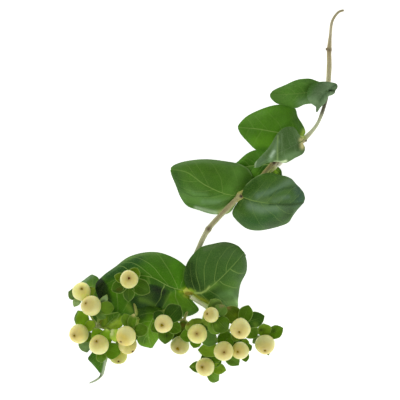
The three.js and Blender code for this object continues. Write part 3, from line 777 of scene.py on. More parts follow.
            [[[238, 204], [241, 208]], 4, (56, 88, 32), 0.8],
            # painted shade near the lower margin
            [[[270, 226], [284, 219], [291, 213]], 4.5, (42, 66, 34), 0.85],
            [[[246, 184.5], [253, 177.8], [262, 173.5]], 0.8, (132, 156, 106), 0.7],
        ],
    },
    "leaf_5_left": {
        "rib": [[187, 291.5, 15], [170, 287, 20], [150, 277, 21.5], [130, 276, 19], [112, 281, 14],
                [96, 291, 9]],
        "left": [[186.5, 293, 14.5], [193, 301, 12], [199, 310, 9.5], [190, 316, 6], [175, 317, 3],
                 [160, 317, 1.5], [145, 319, 1.5], [132, 320, 2], [121, 320, 3], [110, 314, 5],
                 [101, 304, 8], [96.3, 293, 9]],
        "right": [[187, 290, 15.5], [188, 281, 15.5], [189.5, 271, 14.5], [183.5, 264, 13.7], [175, 258, 13],
                  [160, 252.5, 12], [145, 252.5, 11.5], [128, 257.3, 11], [115, 266.5, 10.5],
                  [103, 275.5, 9.5], [95.5, 284, 9], [95.5, 289.5, 9]],
        "puff": 2, "tone": (64, 104, 28), "veinShow": 1, "ribShow": 1.3, "ribEnd": 0.92,
        "veins": {
            "left": [
                [[181, 291], [188, 300], [193, 307]],
                [[176, 289.5], [176, 298], [179, 308]],
                [[165, 285], [158, 300], [152, 312]],
                [[140, 276.5], [134, 290], [128, 304]],
                [[124, 277.5], [118, 290], [117, 303]],
            ],
            "right": [
                [[182, 291], [181.3, 284], [183, 276]],
                [[178, 289.5], [176.5, 285], [173.5, 277], [168, 267], [160, 257], [155, 253]],
                [[170, 287], [166, 282], [161, 277], [155, 269], [150, 264], [143, 260]],
                [[153, 278], [147, 272], [140, 267], [131, 263]],
                [[138, 275.5], [130, 270], [121, 266]],
            ],
        },
        "stainsAndPaintedLight": [
            # painted shade on the upper-left slope
            [[[108, 276], [121, 270], [138, 260]], 6.5, (34, 68, 2), 0.9],
            [[[160, 254], [150, 253], [135, 256], [120, 262]], 1.2, (92, 120, 62), 0.6],
            [[[176, 264], [180, 276], [178, 286]], 7, (76, 128, 22), 0.85],
            [[[150, 266], [165, 275]], 6, (66, 112, 24), 0.5],
            # painted shade: the near-black tip, turned down
            [[[100, 277], [107, 286], [110.7, 296], [111.5, 302], [104, 303], [95, 295], [93, 287],
              [100, 277]], 0.9, (28, 40, 24), 0.97],
            # painted shade: the lower half, folded down along the midrib into deep shade
            [[[148, 284.5], [156, 285.5], [163, 288], [170, 291.5], [167, 297], [163.5, 303], [161.5, 309],
              [158, 314], [140, 316], [133, 309], [130, 298], [140, 296], [149, 292], [148, 284.5]],
             0.8, (34, 60, 6), 0.93],
            [[[141, 299.5], [147, 301], [153, 305]], 3.2, (90, 122, 44), 0.8],
            [[[182, 300], [190, 307]], 7, (98, 144, 12), 0.8],
            [[[171, 300], [178, 310]], 6, (106, 154, 4), 0.8],
            [[[181, 291], [186, 289]], 2.2, (150, 180, 48), 0.9],
            [[[115, 290], [120, 304], [126, 312]], 6.5, (80, 126, 20), 0.85],
            [[[171, 292.5], [166, 301], [162.5, 308]], 0.7, (116, 146, 66), 0.7],
            [[[148, 277], [149.5, 283.5]], 1, (104, 136, 60), 0.7],
            [[[152, 280], [162, 284.5], [172, 289]], 2.6, (50, 84, 12), 0.8],
            # painted shade, deepest in the fold
            [[[155, 288.5], [163, 292]], 3.5, (14, 34, 0), 0.8],
            [[[146, 294], [151, 296]], 3.5, (60, 86, 14), 0.8],
            [[[128, 306], [131, 311]], 2.5, (120, 150, 56), 0.8],
            [[[185, 295.5], [190, 297]], 2, (150, 164, 60), 0.85],
        ],
    },
    "leaf_5_right": {
        "rib": [[189, 291.5, 15], [201, 293, 18.5], [206, 290.8, 19.5], [219, 280, 20.5],
                [234, 264.6, 17], [244.5, 252.5, 12]],
        "left": [[188.5, 290, 15.5], [185, 284, 18], [183.9, 276, 19], [187.5, 262, 19],
                 [200, 247.8, 17.5], [213, 243.8, 14], [226, 241.9, 12.5], [238, 245.6, 11.5],
                 [243.6, 251.6, 12]],
        "right": [[189.5, 293, 14], [196.5, 298.8, 12.8], [205, 304, 12.4], [219, 306.5, 12],
                  [237.8, 308, 9], [238.4, 300, 8.5], [240.5, 284.5, 8], [246.3, 272, 9],
                  [247, 262, 10.5], [245.2, 254.5, 12]],
        "puff": 1.8, "tone": (66, 98, 47), "veinShow": 0.7,
        "veins": {
            "left": [
                [[196, 292], [194, 288], [192, 282], [191, 276], [190, 266]],
                [[199.5, 292], [199, 285], [197, 278], [195.5, 271], [196, 262], [199, 253]],
                [[204, 291.5], [205, 285], [204.3, 279], [203.7, 272], [205, 265], [212, 250]],
                [[214.5, 283], [215, 277], [215.5, 270], [217, 263], [222, 255], [230, 247]],
                [[226, 272.5], [226.5, 266], [229, 259], [233, 253], [238, 248]],
            ],
            "right": [
                [[200, 293], [204, 297], [207, 301]],
                [[208, 290], [213, 292.5], [217, 295], [222, 300], [227, 305]],
                [[219, 280], [223, 283.5], [228, 286], [233, 286.8], [239, 286]],
                [[230, 269], [236, 272], [243, 273]],
            ],
        },
        "stainsAndPaintedLight": [
            # painted shade on the left side, which slopes away from the light
            [[[189, 266], [190, 276], [193, 284]], 7, (40, 62, 28), 0.92, 2.5],
            [[[199, 288], [203, 289]], 3, (48, 72, 20), 0.7],
            [[[205, 249], [222, 243.5], [234, 245]], 2.4, (86, 106, 72), 0.7],
            [[[243, 256], [246, 266], [242, 276]], 2.5, (74, 94, 66), 0.6],
            [[[224, 288], [234, 285]], 6, (80, 114, 48), 0.85],
            # painted sheen, these two, bluish on the lower part
            [[[220, 297], [229, 295]], 4.5, (118, 158, 96), 0.85],
            [[[227, 302], [236, 303]], 4.5, (130, 164, 102), 0.9],
            [[[206, 291], [216, 284]], 2.8, (104, 140, 62), 0.8],
            [[[206, 296], [216, 302]], 5, (58, 94, 24), 0.7],
            [[[225, 255], [233, 252]], 6, (76, 102, 62), 0.55],
            [[[193, 294.8], [199, 298.6], [206, 302], [213, 305.5]], 2.2, (162, 166, 60), 0.85],
            [[[190, 290], [194, 292.2]], 1.8, (150, 180, 58), 0.9],
            # the pale midrib near the base, brightened further by a painted highlight
            [[[195, 293], [201, 293], [205.8, 290.8], [209.5, 286.6]], 0.9, (180, 200, 118), 0.9],
        ],
    },
    "bract_leaf_middle": {
        "rib": [[163, 310, 7.3], [158, 311.5, 9.2], [152, 320, 9.5], [148, 333, 7.5], [151.5, 348, 2]],
        "left": [[163.5, 311, 7.2], [164, 320, 8.5], [161, 333, 6], [157, 341, 4], [152.5, 348, 2]],
        "right": [[162.5, 308.5, 7.5], [148, 301, 8.2], [139, 307, 8], [135, 321, 7], [136.5, 338, 2.5],
                  [140, 345, 1], [150.5, 348.4, 1.8]],
        "puff": 0.8, "tone": (96, 138, 34), "veinShow": 0.5,
        "stainsAndPaintedLight": [
            # painted shade on the left half
            [[[144, 306], [141, 316]], 7, (48, 74, 34), 0.9, 3],
            [[[152, 308], [160, 313]], 6, (52, 82, 28), 0.8],
            # painted shade on the left half, lower down
            [[[139, 326], [143, 340]], 5.5, (62, 94, 22), 0.85],
            [[[155, 335], [153, 346]], 4.5, (92, 130, 30), 0.7],
        ],
    },
    "bract_leaf_fork": {
        "rib": [[104.5, 327, 8.2], [111, 320.5, 10], [119, 312.8, 9.5]],
        "left": [[102.5, 327.3, 8.2], [99.3, 322, 8.8], [103, 316.3, 9.6], [110, 313, 9.8],
                 [118.2, 311.8, 9.5]],
        "right": [[105.5, 328.4, 8.2], [115, 330, 9.3], [122.5, 325.5, 9.8], [122.5, 317, 9.8],
                  [119.8, 312.8, 9.5]],
        "puff": 0.5, "tone": (84, 126, 38), "veinShow": 0.5,
        "stainsAndPaintedLight": [
            [[[105, 325], [105, 319]], 2.6, (150, 176, 56), 0.85],
            [[[102, 318], [99.8, 325]], 1.3, (138, 142, 58), 0.85],
            [[[109, 314.2], [118, 312]], 0.8, (146, 176, 92), 0.7],
            # painted light, these two: the right half made bright yellow-green against the shade under the
            # berries
            [[[107, 329.5], [113, 329.5], [118, 327], [122, 320]], 3.2, (180, 210, 64), 0.9],
            [[[111.5, 325.5], [117, 321.5]], 2.6, (188, 214, 84), 0.85],
            [[[119.5, 314], [117, 319], [111, 323]], 0.6, (150, 180, 92), 0.7],
        ],
    },
    "bract_leaf_upper": {
        "rib": [[97, 323.5, 6.8], [95, 308, 6], [93, 291, 4.5], [91.5, 274.5, 1]],
        "left": [[96, 323.5, 6.8], [87, 306, 5], [81, 292, 3], [80, 283.5, 1.8], [85, 279, 1.3],
                 [91, 274.6, 1]],
        "right": [[98, 323.5, 6.8], [102.5, 306, 5], [103.5, 292, 3.5], [101.5, 283, 2.5],
                  [97.5, 277, 1.5], [92.5, 274.4, 1]],
        "puff": 0.6, "tone": (84, 122, 54), "veinShow": 0.25, "ribShow": 0.3,
        "stainsAndPaintedLight": [
            [[[80, 285], [87, 278.5], [92, 275.5]], 2.2, (118, 144, 112), 0.85],
            [[[92, 286], [94, 294]], 3.5, (110, 144, 56), 0.7],
            [[[96.5, 278], [93, 284]], 1.5, (70, 104, 56), 0.5],
        ],
    },
    "bract_leaf_lower": {
        "rib": [[107, 330.5, 6.8], [103.5, 344, 7.5], [100, 357, 7], [101, 367, 5], [101.5, 374, 2.5],
                [96, 380, 1], [89.5, 383.3, 0.6]],
        "left": [[108.2, 331, 6.6], [110.5, 343, 6], [108.5, 355, 5], [106.5, 363, 4], [104.8, 370, 3],
                 [103, 375.5, 2], [97, 380.8, 0.8], [89.3, 383.8, 0.5]],
        "right": [[106, 330, 6.8], [98, 344, 5.5], [90.5, 354.5, 4.5], [88, 358.5, 4], [92, 364, 3.5],
                  [98, 371, 3.2], [100.5, 375, 2.5], [95.5, 379.3, 1.2], [89.3, 382.8, 0.7]],
        "puff": 0.4, "tone": (64, 104, 26), "veinShow": 0.2, "ribShow": 0.3,
        "stainsAndPaintedLight": [
            [[[106, 358], [104.5, 367], [103, 374]], 1.7, (164, 174, 158), 0.9, 3],
            [[[101.5, 376], [96, 380.5], [89, 383.5]], 3.2, (168, 176, 158), 0.97, 6],
            [[[90, 356], [92, 361]], 2, (56, 86, 34), 0.6],
        ],
    },
}


def follow(course, across):
    # how far along the midrib a side vein has come at this share across, going on past its last spot
    for (low, first), (high, second) in zip(course, course[1:]):
        if across <= high or high == course[-1][0]:
            return first + (second - first) * (across - low) / (high - low)


def plainVein(number):
    build = plainVeins
    jitter = build["jitter"]
    start = (number + 0.5 + random.uniform(-jitter, jitter)) / (build["count"] + 0.5) * build["reach"]
    sweep = random.uniform(*build["sweep"])
    shares = [step / build["steps"] for step in range(build["steps"] + 1)]
    return [(share, start + sweep * share ** build["bend"]) for share in shares]


def seenVein(line, seats):
    # a vein given by its pixels, each turned into how far across and along the blade it is
    course = []
    for spot in line:
        seen = Vector(spot)
        seen, along, across = min(seats, key=lambda seat: (seat[0] - seen).length_squared)
        if not course:
            across = 0
        elif across < course[-1][0] + seenVeins["leastStep"]:
            continue
        course.append((across, along))
    smooth = Route([Vector((across, along, 0)) for across, along in course], seenVeins["samples"])
    return [smooth.at(step / seenVeins["steps"]).xy[:] for step in range(seenVeins["steps"] + 1)]


def veinCourses(leaf, seats):
    # the side veins of each half of the blade, v above zero on the left
    courses = {}
    for side, name in ((1, "left"), (-1, "right")):
        if "veins" in leaf:
            ownSeats = [(seen, u, abs(v)) for seen, u, v in seats if v * side >= 0]
            courses[side] = [seenVein(line, ownSeats) for line in leaf["veins"][name]]
        else:
            courses[side] = [plainVein(number) for number in range(plainVeins["count"])]
    return courses


def veinPhase(lines, u, edge=0.25):
    # which two veins a spot lies between, as a number that is whole on a vein, and the gap between them
    count = bisect_right(lines, u)
    if count == 0:
        return 1 - min(0.5, (lines[0] - u) / edge), edge
    if count == len(lines):
        return count + min(0.5, (u - lines[-1]) / edge), edge
    gap = lines[count] - lines[count - 1]
    return count + (u - lines[count - 1]) / gap, gap


def leafMesh(leaf):
    build = leafBuild
    rib = Route([place(spot) for spot in leaf["rib"]])
    left = Route([place(spot) for spot in leaf["left"]])
    right = Route([place(spot) for spot in leaf["right"]])
    bm = bmesh.new()
    layers = BladeLayers(bm)
    sheet = bmesh.ops.create_grid(bm, x_segments=build["stepsAlong"], y_segments=build["stepsAcross"], size=1)
    sideOf = {}
    rows = {}
    seed = random.uniform(0, 50)
    puff = leaf["puff"] * mm
    for vert in sheet["verts"]:
        u = round((vert.co.x + 1) / 2, 5)
        v = round(vert.co.y, 5)
        sideOf[vert] = (u, v)
        if u not in rows:
            rows[u] = (rib.at(u), rib.heading(u), left.at(u), right.at(u))
        middle, heading, leftEdge, rightEdge = rows[u]
        outward = (rightEdge if v < 0 else leftEdge) - middle
        bulge = heading.cross(outward).normalized() * math.copysign(1, v)
        rise = puff * math.sin(math.pi * abs(v)) * math.sin(math.pi * u)
        vert.co = middle + outward * abs(v) + bulge * rise
    bm.normal_update()

    # veins sink into the upper face, and the blade swells a little between them
    courses = veinCourses(leaf, [(pixelOf(vert.co), u, v) for vert, (u, v) in sideOf.items()])
    lines = {}
    facing = -1 if leaf.get("underneath") else 1
    quilt = leaf.get("quilt", 1)
    ribEnd = leaf.get("ribEnd", build["ribEnd"])
    waverAlong, waverAcross = build["waverPatches"]
    rippleAlong, rippleAcross = build["ripplePatches"]
    fullWidth = build["fullWidth"]
    moves = {}
    for vert, (u, v) in sideOf.items():
        middle, _, leftEdge, rightEdge = rows[u]
        width = ((rightEdge if v < 0 else leftEdge) - middle).length / mm
        a = abs(v)
        if v not in lines:
            lines[v] = sorted(follow(course, a) for course in courses[-1 if v < 0 else 1])
        waver = build["waver"] * noise.noise(Vector((u * waverAlong + seed, a * waverAcross, v)))
        phase, gap = veinPhase(lines[v], u + waver)
        gap *= rib.length / mm * build["veinSlant"]
        away = abs((phase + 0.5) % 1 - 0.5) * gap
        fade = (1 - a ** 4) * min(1, (1 - u) * build["fadeOut"]) * min(1, u * build["fadeIn"]) * (v != 0)
        ribAway = a * width
        layers.write(
            vert, ribAway=ribAway, ribStrength=max(0, 1 - u / ribEnd) * leaf.get("ribShow", 1),
            veinPhase=phase, veinGap=gap,
            veinStrength=fade * (1 - build["veinFade"] * a) * leaf.get("veinShow", 1),
            edgeAway=(1 - a) * width + leaf.get("plainEdge", 0))
        taper = (1 - build["ribTaper"] * u) * min(1, width / fullWidth["rib"])
        relief = -build["ribDepth"] * bump(ribAway, build["ribBroad"]) * taper
        relief -= build["veinDepth"] * bump(away, build["veinBroad"]) * fade
        relief += (build["pillow"] * quilt * (0.5 - 0.5 * math.cos(2 * math.pi * phase)) * fade
                   * min(1, ribAway / fullWidth["pillow"]))
        rippled = noise.noise(Vector((u * rippleAlong, v * rippleAcross, seed)))
        relief += build["ripple"] * a * rippled * min(1, width / fullWidth["ripple"])
        moves[vert] = vert.normal * relief * facing * mm
    for vert, move in moves.items():
        vert.co += move
    seenLayer, backLayer = ("toneUnder", "tone") if leaf.get("underneath") else ("tone", "toneUnder")
    paint(bm, seenLayer, stainedAndPaintedLight(leaf["tone"], leaf["stainsAndPaintedLight"], lift=build["lift"]))
    paint(bm, backLayer, stainedAndPaintedLight(leaf.get("back", build["back"]), []))
    return bm


def makeLeaves():
    upper = bladeMaterial("leafUpper")
    under = bladeMaterial("leafUnder")
    edge = edgeMaterial("leafEdge", (104, 132, 66))
    for name, leaf in leaves.items():
        faces = [under, upper] if leaf.get("underneath") else [upper, under]
        made = addSheet(camel(name), leafMesh(leaf), faces + [edge], leafBuild["thickness"] * mm)
        stand(made, name)
    print("leaves:", len(leaves))


# Berries, each with a small dry tip that shows which way it leans

berryBuild = {
    "around": 44,
    "down": 36,
    "gap": 0.3,  # below the berry
    # what shapes it, with places and widths as angles from the top
    "dimple": 0.06, "dimpleWidth": 0.17,
    "brow": 0.012, "browAt": 0.36, "browWidth": 0.16,
    "lobes": 0.018, "lobeCount": 3, "lobesAbove": 1.3, "lobesBelow": 0.7,
    "uneven": 0.024, "unevenPatches": 1.6, "pitted": 0.004, "pittedPatches": 7,
    "seam": 0.006, "seamWidth": 0.1, "seamAt": 0.45, "seamReach": 0.35,
    "flatBelow": 0.97,
    # what colours it: the strongest share of each colour and how wide it fades
    "crownShare": 0.85, "crownWidth": 0.5,
    # a paler band round the berry's sides, away from its tip: painted rim light, as if lit from behind
    "rimLightShare": 0.8, "rimLightFrom": 0.7, "rimLightWidth": 0.35,
    "seatShare": 0.5, "seatWidth": 0.9, "haloShare": 0.7,
    "blotch": 0.05, "blotchPatches": 2.5, "tipLength": 0.6,
    "tipSides": 12, "tipFoot": 1.1, "tipTop": 0.7, "tipAt": 0.96,
    "tipLobes": 0.25, "tipCrumple": 0.4, "tipPatches": 9,
    "tipLevel": 0.01,  # an edge of the stub that rises less than this lies level
    "skin": (220, 210, 128),
    "crown": (206, 186, 106),
    # painted rim light
    "rim": (226, 226, 154),
    "seat": (196, 204, 116),
    "halo": (156, 130, 42),
    "tipTone": (138, 120, 30),
}

# dot: how many pixels wide the dry tip and the stain around it are
# sepals: [across, down, height, width in millimetres, colour]
berries = [
    {"middle": [81.5, 291.6, 15], "radius": 9.3, "tip": [82.2, 288.3], "dot": [2.4, 3.8],
     "skin": (244, 238, 142), "crown": (232, 216, 118),
     "sepals": [[69, 291.5, 12, 8, "grey"], [74, 306.5, 10, 4.5, "pale"], [94.5, 288, 12, 6, "straw"],
                [80, 284, 9, 6, "mid"], [88, 299, 8, 6, "mid"]]},
    {"middle": [91.1, 305.8, 22], "radius": 10.2, "tip": [86, 302.8], "dot": [2, 4],
     "sepals": [[106.5, 294.8, 20, 4.2, "pale"], [114.3, 308.5, 18, 8, "fresh"], [105.5, 318, 15, 6, "soft"],
                [83, 311, 12, 6, "mid"], [92, 314, 13, 6, "mid"]]},
    {"middle": [129, 279.3, 30], "radius": 9.2, "tip": [129.3, 277.8], "dot": [2.6, 4.2],
     "narrow": 0.1, "tipTone": (106, 66, 26), "skin": (212, 202, 116), "crown": (210, 194, 112),
     "sepals": [[137.5, 268.3, 27, 7, "olive"], [114.5, 275.5, 26, 6, "olive"], [112, 291, 25, 8, "deep"],
                [128.5, 302, 22, 7, "deep"], [150, 292, 26, 9.5, "deep"]],
     "stainsAndPaintedLight": [[[[118, 289.5], [121, 289]], 2, (78, 84, 18), 0.85, 3],
                [[[146, 289]], 3, (86, 124, 46), 0.6]]},
    {"middle": [78.9, 333.8, 13], "radius": 9.8, "tip": [74.8, 335.2], "dot": [2.2, 4],
     "skin": (232, 218, 128),
     "sepals": [[78, 311, 12, 9, "lit"], [94.5, 321, 12, 6.5, "yellow"], [87, 352.3, 2, 8, "grey"],
                [91.5, 340, 6, 7, "olive"], [72, 331, 3, 5, "mid"]],
     "stainsAndPaintedLight": [[[[76, 312.5], [74, 316], [74, 323]], 1.7, (122, 148, 136), 0.95]]},
    {"middle": [99.1, 344.8, 19], "radius": 9.9, "tip": [96.8, 340.7], "dot": [2.4, 4.5],
     "skin": (226, 220, 132),
     "sepals": [[94, 327.3, 15.5, 8.5, "lit"], [91, 348, 12.5, 6, "mid"], [102, 362.7, 12, 6.5, "mid"],
                [120.5, 353.5, 14, 10, "bright"], [106.5, 328.5, 14.5, 8, "lit"]],
     # painted light: a near-white patch and a pale green highlight on the sepals, against the shade between
     # the berries
     "stainsAndPaintedLight": [[[[95, 326]], 2.4, (250, 255, 190), 0.9], [[[107, 329.5]], 2, (214, 236, 124), 0.8]]},
    {"middle": [126, 336, 27], "radius": 10.1, "tip": [120.8, 341.5], "dot": [2.2, 3.6],
     "skin": (222, 206, 104), "tipTone": (158, 138, 78),
     "sepals": [[124, 313.6, 24.5, 7, "fresh"], [134.5, 313.5, 24.5, 5.5, "bright"],
                [147.5, 326.5, 22, 8, "mid"], [134, 341, 22, 5, "mid"], [116, 344, 20, 5, "mid"]],
     "stainsAndPaintedLight": [[[[134, 314]], 2.6, (232, 214, 146), 0.85]]},
    {"middle": [127.5, 345, 15.5], "radius": 9.3, "tip": [133, 351.2], "dot": [2.4, 4],
     "skin": (200, 194, 104), "crown": (188, 176, 86), "rim": (222, 216, 140), "tipTone": (66, 50, 20),
     "sepals": [[136, 341, 10, 6, "mid"], [131, 335, 14, 5, "mid"], [111.5, 329, 12, 8, "lime"],
                [120, 347, 9, 5, "mid"], [131, 350, 7, 6, "mid"]],
     "stainsAndPaintedLight": [[[[111.5, 334], [112, 329]], 2, (244, 252, 186), 0.8]]},
    {"middle": [118.3, 355.3, 8], "radius": 9, "tip": [118.8, 361.1], "dot": [2, 5],
     "skin": (186, 190, 84), "crown": (166, 168, 72), "rim": (200, 204, 108), "tipTone": (74, 58, 24),
     "sepals": [[126, 352, 0.6, 5, "mid"], [119, 348, 5, 5, "mid"], [111, 352, 2, 5, "mid"],
                [113, 359, 0.6, 5, "mid"], [122, 359, 0.6, 5, "mid"]]},
    {"middle": [163.5, 323.8, 24], "radius": 9.2, "tip": [162, 324.8], "dot": [3, 4.5],
     "skin": (230, 220, 142), "crown": (216, 198, 120),
     "sepals": [[180, 305.5, 21, 11.5, "dark"], [181, 331, 18, 8, "mid"], [165.5, 344, 18, 9.5, "mid"],
                [151, 331, 17, 7, "mid"], [154, 312, 17, 7, "dark"]],
     "stainsAndPaintedLight": [[[[166.5, 335.5]], 2, (40, 58, 24), 0.8], [[[160, 338], [164, 341]], 3, (98, 140, 56), 0.6]]},
    {"middle": [179.9, 345.3, 12.5], "radius": 9.4, "tip": [177.6, 348.2], "dot": [3.4, 5],
     "skin": (194, 190, 114), "crown": (174, 160, 84),
     "sepals": [[188, 342, 8, 6, "mid"], [183.5, 320.5, 10, 10.5, "olive"], [172, 336.5, 10, 8, "olive"],
                [175, 351, 4, 6, "mid"], [185, 351, 4, 6, "mid"]],
     "stainsAndPaintedLight": [[[[183, 325]], 2.6, (116, 88, 46), 0.85]]},
    {"middle": [197.5, 333.8, 24], "radius": 9.8, "tip": [196.7, 333], "dot": [1.6, 4.5],
     "skin": (226, 222, 130), "tipTone": (140, 108, 58),
     "sepals": [[192, 319, 21, 12, "straw"], [180, 336.5, 18, 8, "bright"], [193.5, 348, 18, 7, "bright"],
                [217.5, 342, 19, 9.5, "blue"], [211, 322, 19, 8, "mid"]],
     "stainsAndPaintedLight": [[[[184, 323], [188, 324]], 2, (110, 84, 40), 0.8], [[[217, 339]], 2.4, (136, 166, 78), 0.8]]},
    {"middle": [211.1, 314.9, 28], "radius": 7.8, "tip": [206.9, 313.5], "dot": [2.2, 3.6],
     "skin": (210, 200, 116),
     "sepals": [[211, 299.7, 27, 9, "sage"], [224.5, 305, 26, 8, "soft"], [228, 330, 22, 11, "mid"],
                [218.5, 334, 20, 9.5, "fresh"], [202, 322, 20, 8.5, "straw"]],
     "stainsAndPaintedLight": [[[[216, 305]], 2.4, (106, 138, 68), 0.8], [[[221, 306], [226, 304]], 2, (150, 134, 96), 0.7],
                # painted light on the sepal below, against the shade beside the berry
                [[[216, 326]], 3, (112, 150, 52), 0.85]]},
    {"middle": [240.4, 328.3, 28], "radius": 10.6, "tip": [239, 331.7], "dot": [2.3, 3.6], "narrow": 0.22,
     "sepals": [[224.5, 308, 25, 10.5, "olive"], [249, 305.5, 24, 8.8, "mid"], [264.5, 316, 23, 9.5, "dark"],
                [257, 337, 20, 9, "mid"], [233.5, 341.5, 19, 7, "olive"]],
     "stainsAndPaintedLight": [[[[226, 305], [229, 308]], 2, (144, 114, 72), 0.7],
                [[[245, 338], [249, 342]], 3, (150, 160, 70), 0.7],
                # painted light on the olive sepal, against the shade beside the berry
                [[[236, 315]], 2.4, (124, 150, 38), 0.8],
                [[[255, 324], [257, 330]], 3, (100, 134, 46), 0.8]]},
    {"middle": [223.7, 351.2, 21], "radius": 9.9, "tip": [224, 351.5], "dot": [1.8, 4],
     "tipTone": (124, 92, 46),
     "sepals": [[228, 331, 17, 10.5, "bright"], [235.5, 338.5, 15, 7, "mid"], [238.5, 365, 10, 8, "mid"],
                [212, 361, 11, 6.5, "mid"], [198, 350, 14, 8.5, "fair"]]},
    {"middle": [240.3, 350.5, 15], "radius": 8.8, "tip": [237.4, 351.3], "dot": [2.3, 4],
     "sepals": [[245.5, 339, 12, 5, "fair"], [252, 346, 11, 5, "mid"], [246, 362, 9, 5, "mid"],
                [234, 356, 7, 5, "mid"], [237, 339.5, 10, 7, "mid"]]},
    {"middle": [265.1, 344.5, 13], "radius": 10, "tip": [264.6, 350.3], "dot": [2.4, 4.2],
     "sepals": [[263.5, 323.5, 13, 8.5, "fair"], [283, 327.8, 12, 8, "bright"], [268.5, 355.5, 0.6, 5, "mid"],
                [260, 351, 0.6, 5, "mid"], [252.5, 343, 7, 5, "grey"]],
     "stainsAndPaintedLight": [[[[261, 330]], 1.8, (50, 66, 26), 0.8], [[[274, 331]], 2.2, (50, 72, 26), 0.8]]},
    {"middle": [205.2, 367, 13], "radius": 9.4, "tip": [202, 366.5], "dot": [2.4, 4.4],
     "sepals": [[189.5, 367, 8, 7, "mid"], [203, 353.5, 9, 7, "mid"], [221, 357.5, 10, 6.5, "mid"],
                [226, 370, 8, 7, "fair"], [218.5, 380.5, 0.6, 7, "bright"]],
     "stainsAndPaintedLight": [[[[193, 367]], 2, (118, 140, 54), 0.7]]},
]


def layOut(berry):
    middle = place(berry["middle"])
    nearness = 1 - berry["middle"][2] * mm / picture["cameraHeight"]
    radius = berry["radius"] * pixel * nearness
    leanAcross = (berry["tip"][0] - berry["middle"][0]) / berry["radius"]
    leanDown = (berry["tip"][1] - berry["middle"][1]) / berry["radius"]
    upright = math.sqrt(1 - leanAcross ** 2 - leanDown ** 2)
    axis = Vector((leanAcross, -leanDown, upright)).normalized()
    foot = middle - axis * (radius + berryBuild["gap"] * mm)
    return middle, radius, axis, foot


berryFinish = {
    "glossiest": 0.34,
    "dullest": 0.5,
    "pores": 1900.0,
    "poreWidth": 0.4,
    "translucence": 0.35,
    "translucenceTint": (1.0, 0.8, 0.35),
    "translucenceDepth": 0.0015,
}


def berryMaterial():
    finish = berryFinish
    material, tree, shader = startMaterial("berrySkin")
    look = placeMottle(tree, attribute(tree, "tone", "Color"), coarse=260.0, fine=1400.0, strength=0.09)
    tree.links.new(look.outputs["Colour"], shader.inputs["Base Color"])
    rough = remap(tree, look.outputs["Value"], mottleBuild["low"], mottleBuild["high"],
                  finish["glossiest"], finish["dullest"])
    tree.links.new(rough, shader.inputs["Roughness"])
    where = tree.nodes.new("ShaderNodeTexCoord").outputs["Object"]
    pores = addNode(tree, "ShaderNodeTexVoronoi", {"Vector": where, "Scale": finish["pores"]})
    pitted = remap(tree, pores.outputs["Distance"], 0.0, finish["poreWidth"])
    height = calc(tree, "ADD", pitted, look.outputs["Value"])
    addRelief(tree, shader, height, strength=0.25, distance=0.00006)
    shader.inputs["Subsurface Weight"].default_value = finish["translucence"]
    shader.inputs["Subsurface Radius"].default_value = finish["translucenceTint"]
    shader.inputs["Subsurface Scale"].default_value = finish["translucenceDepth"]
    return material


def dryMaterial():
    material, tree, shader = startMaterial("dryTip")
    look = placeMottle(tree, attribute(tree, "tone", "Color"), coarse=900.0, fine=3000.0, strength=0.3)
    tree.links.new(look.outputs["Colour"], shader.inputs["Base Color"])
    shader.inputs["Roughness"].default_value = 0.85
    shader.inputs["Specular IOR Level"].default_value = 0.2
    return material


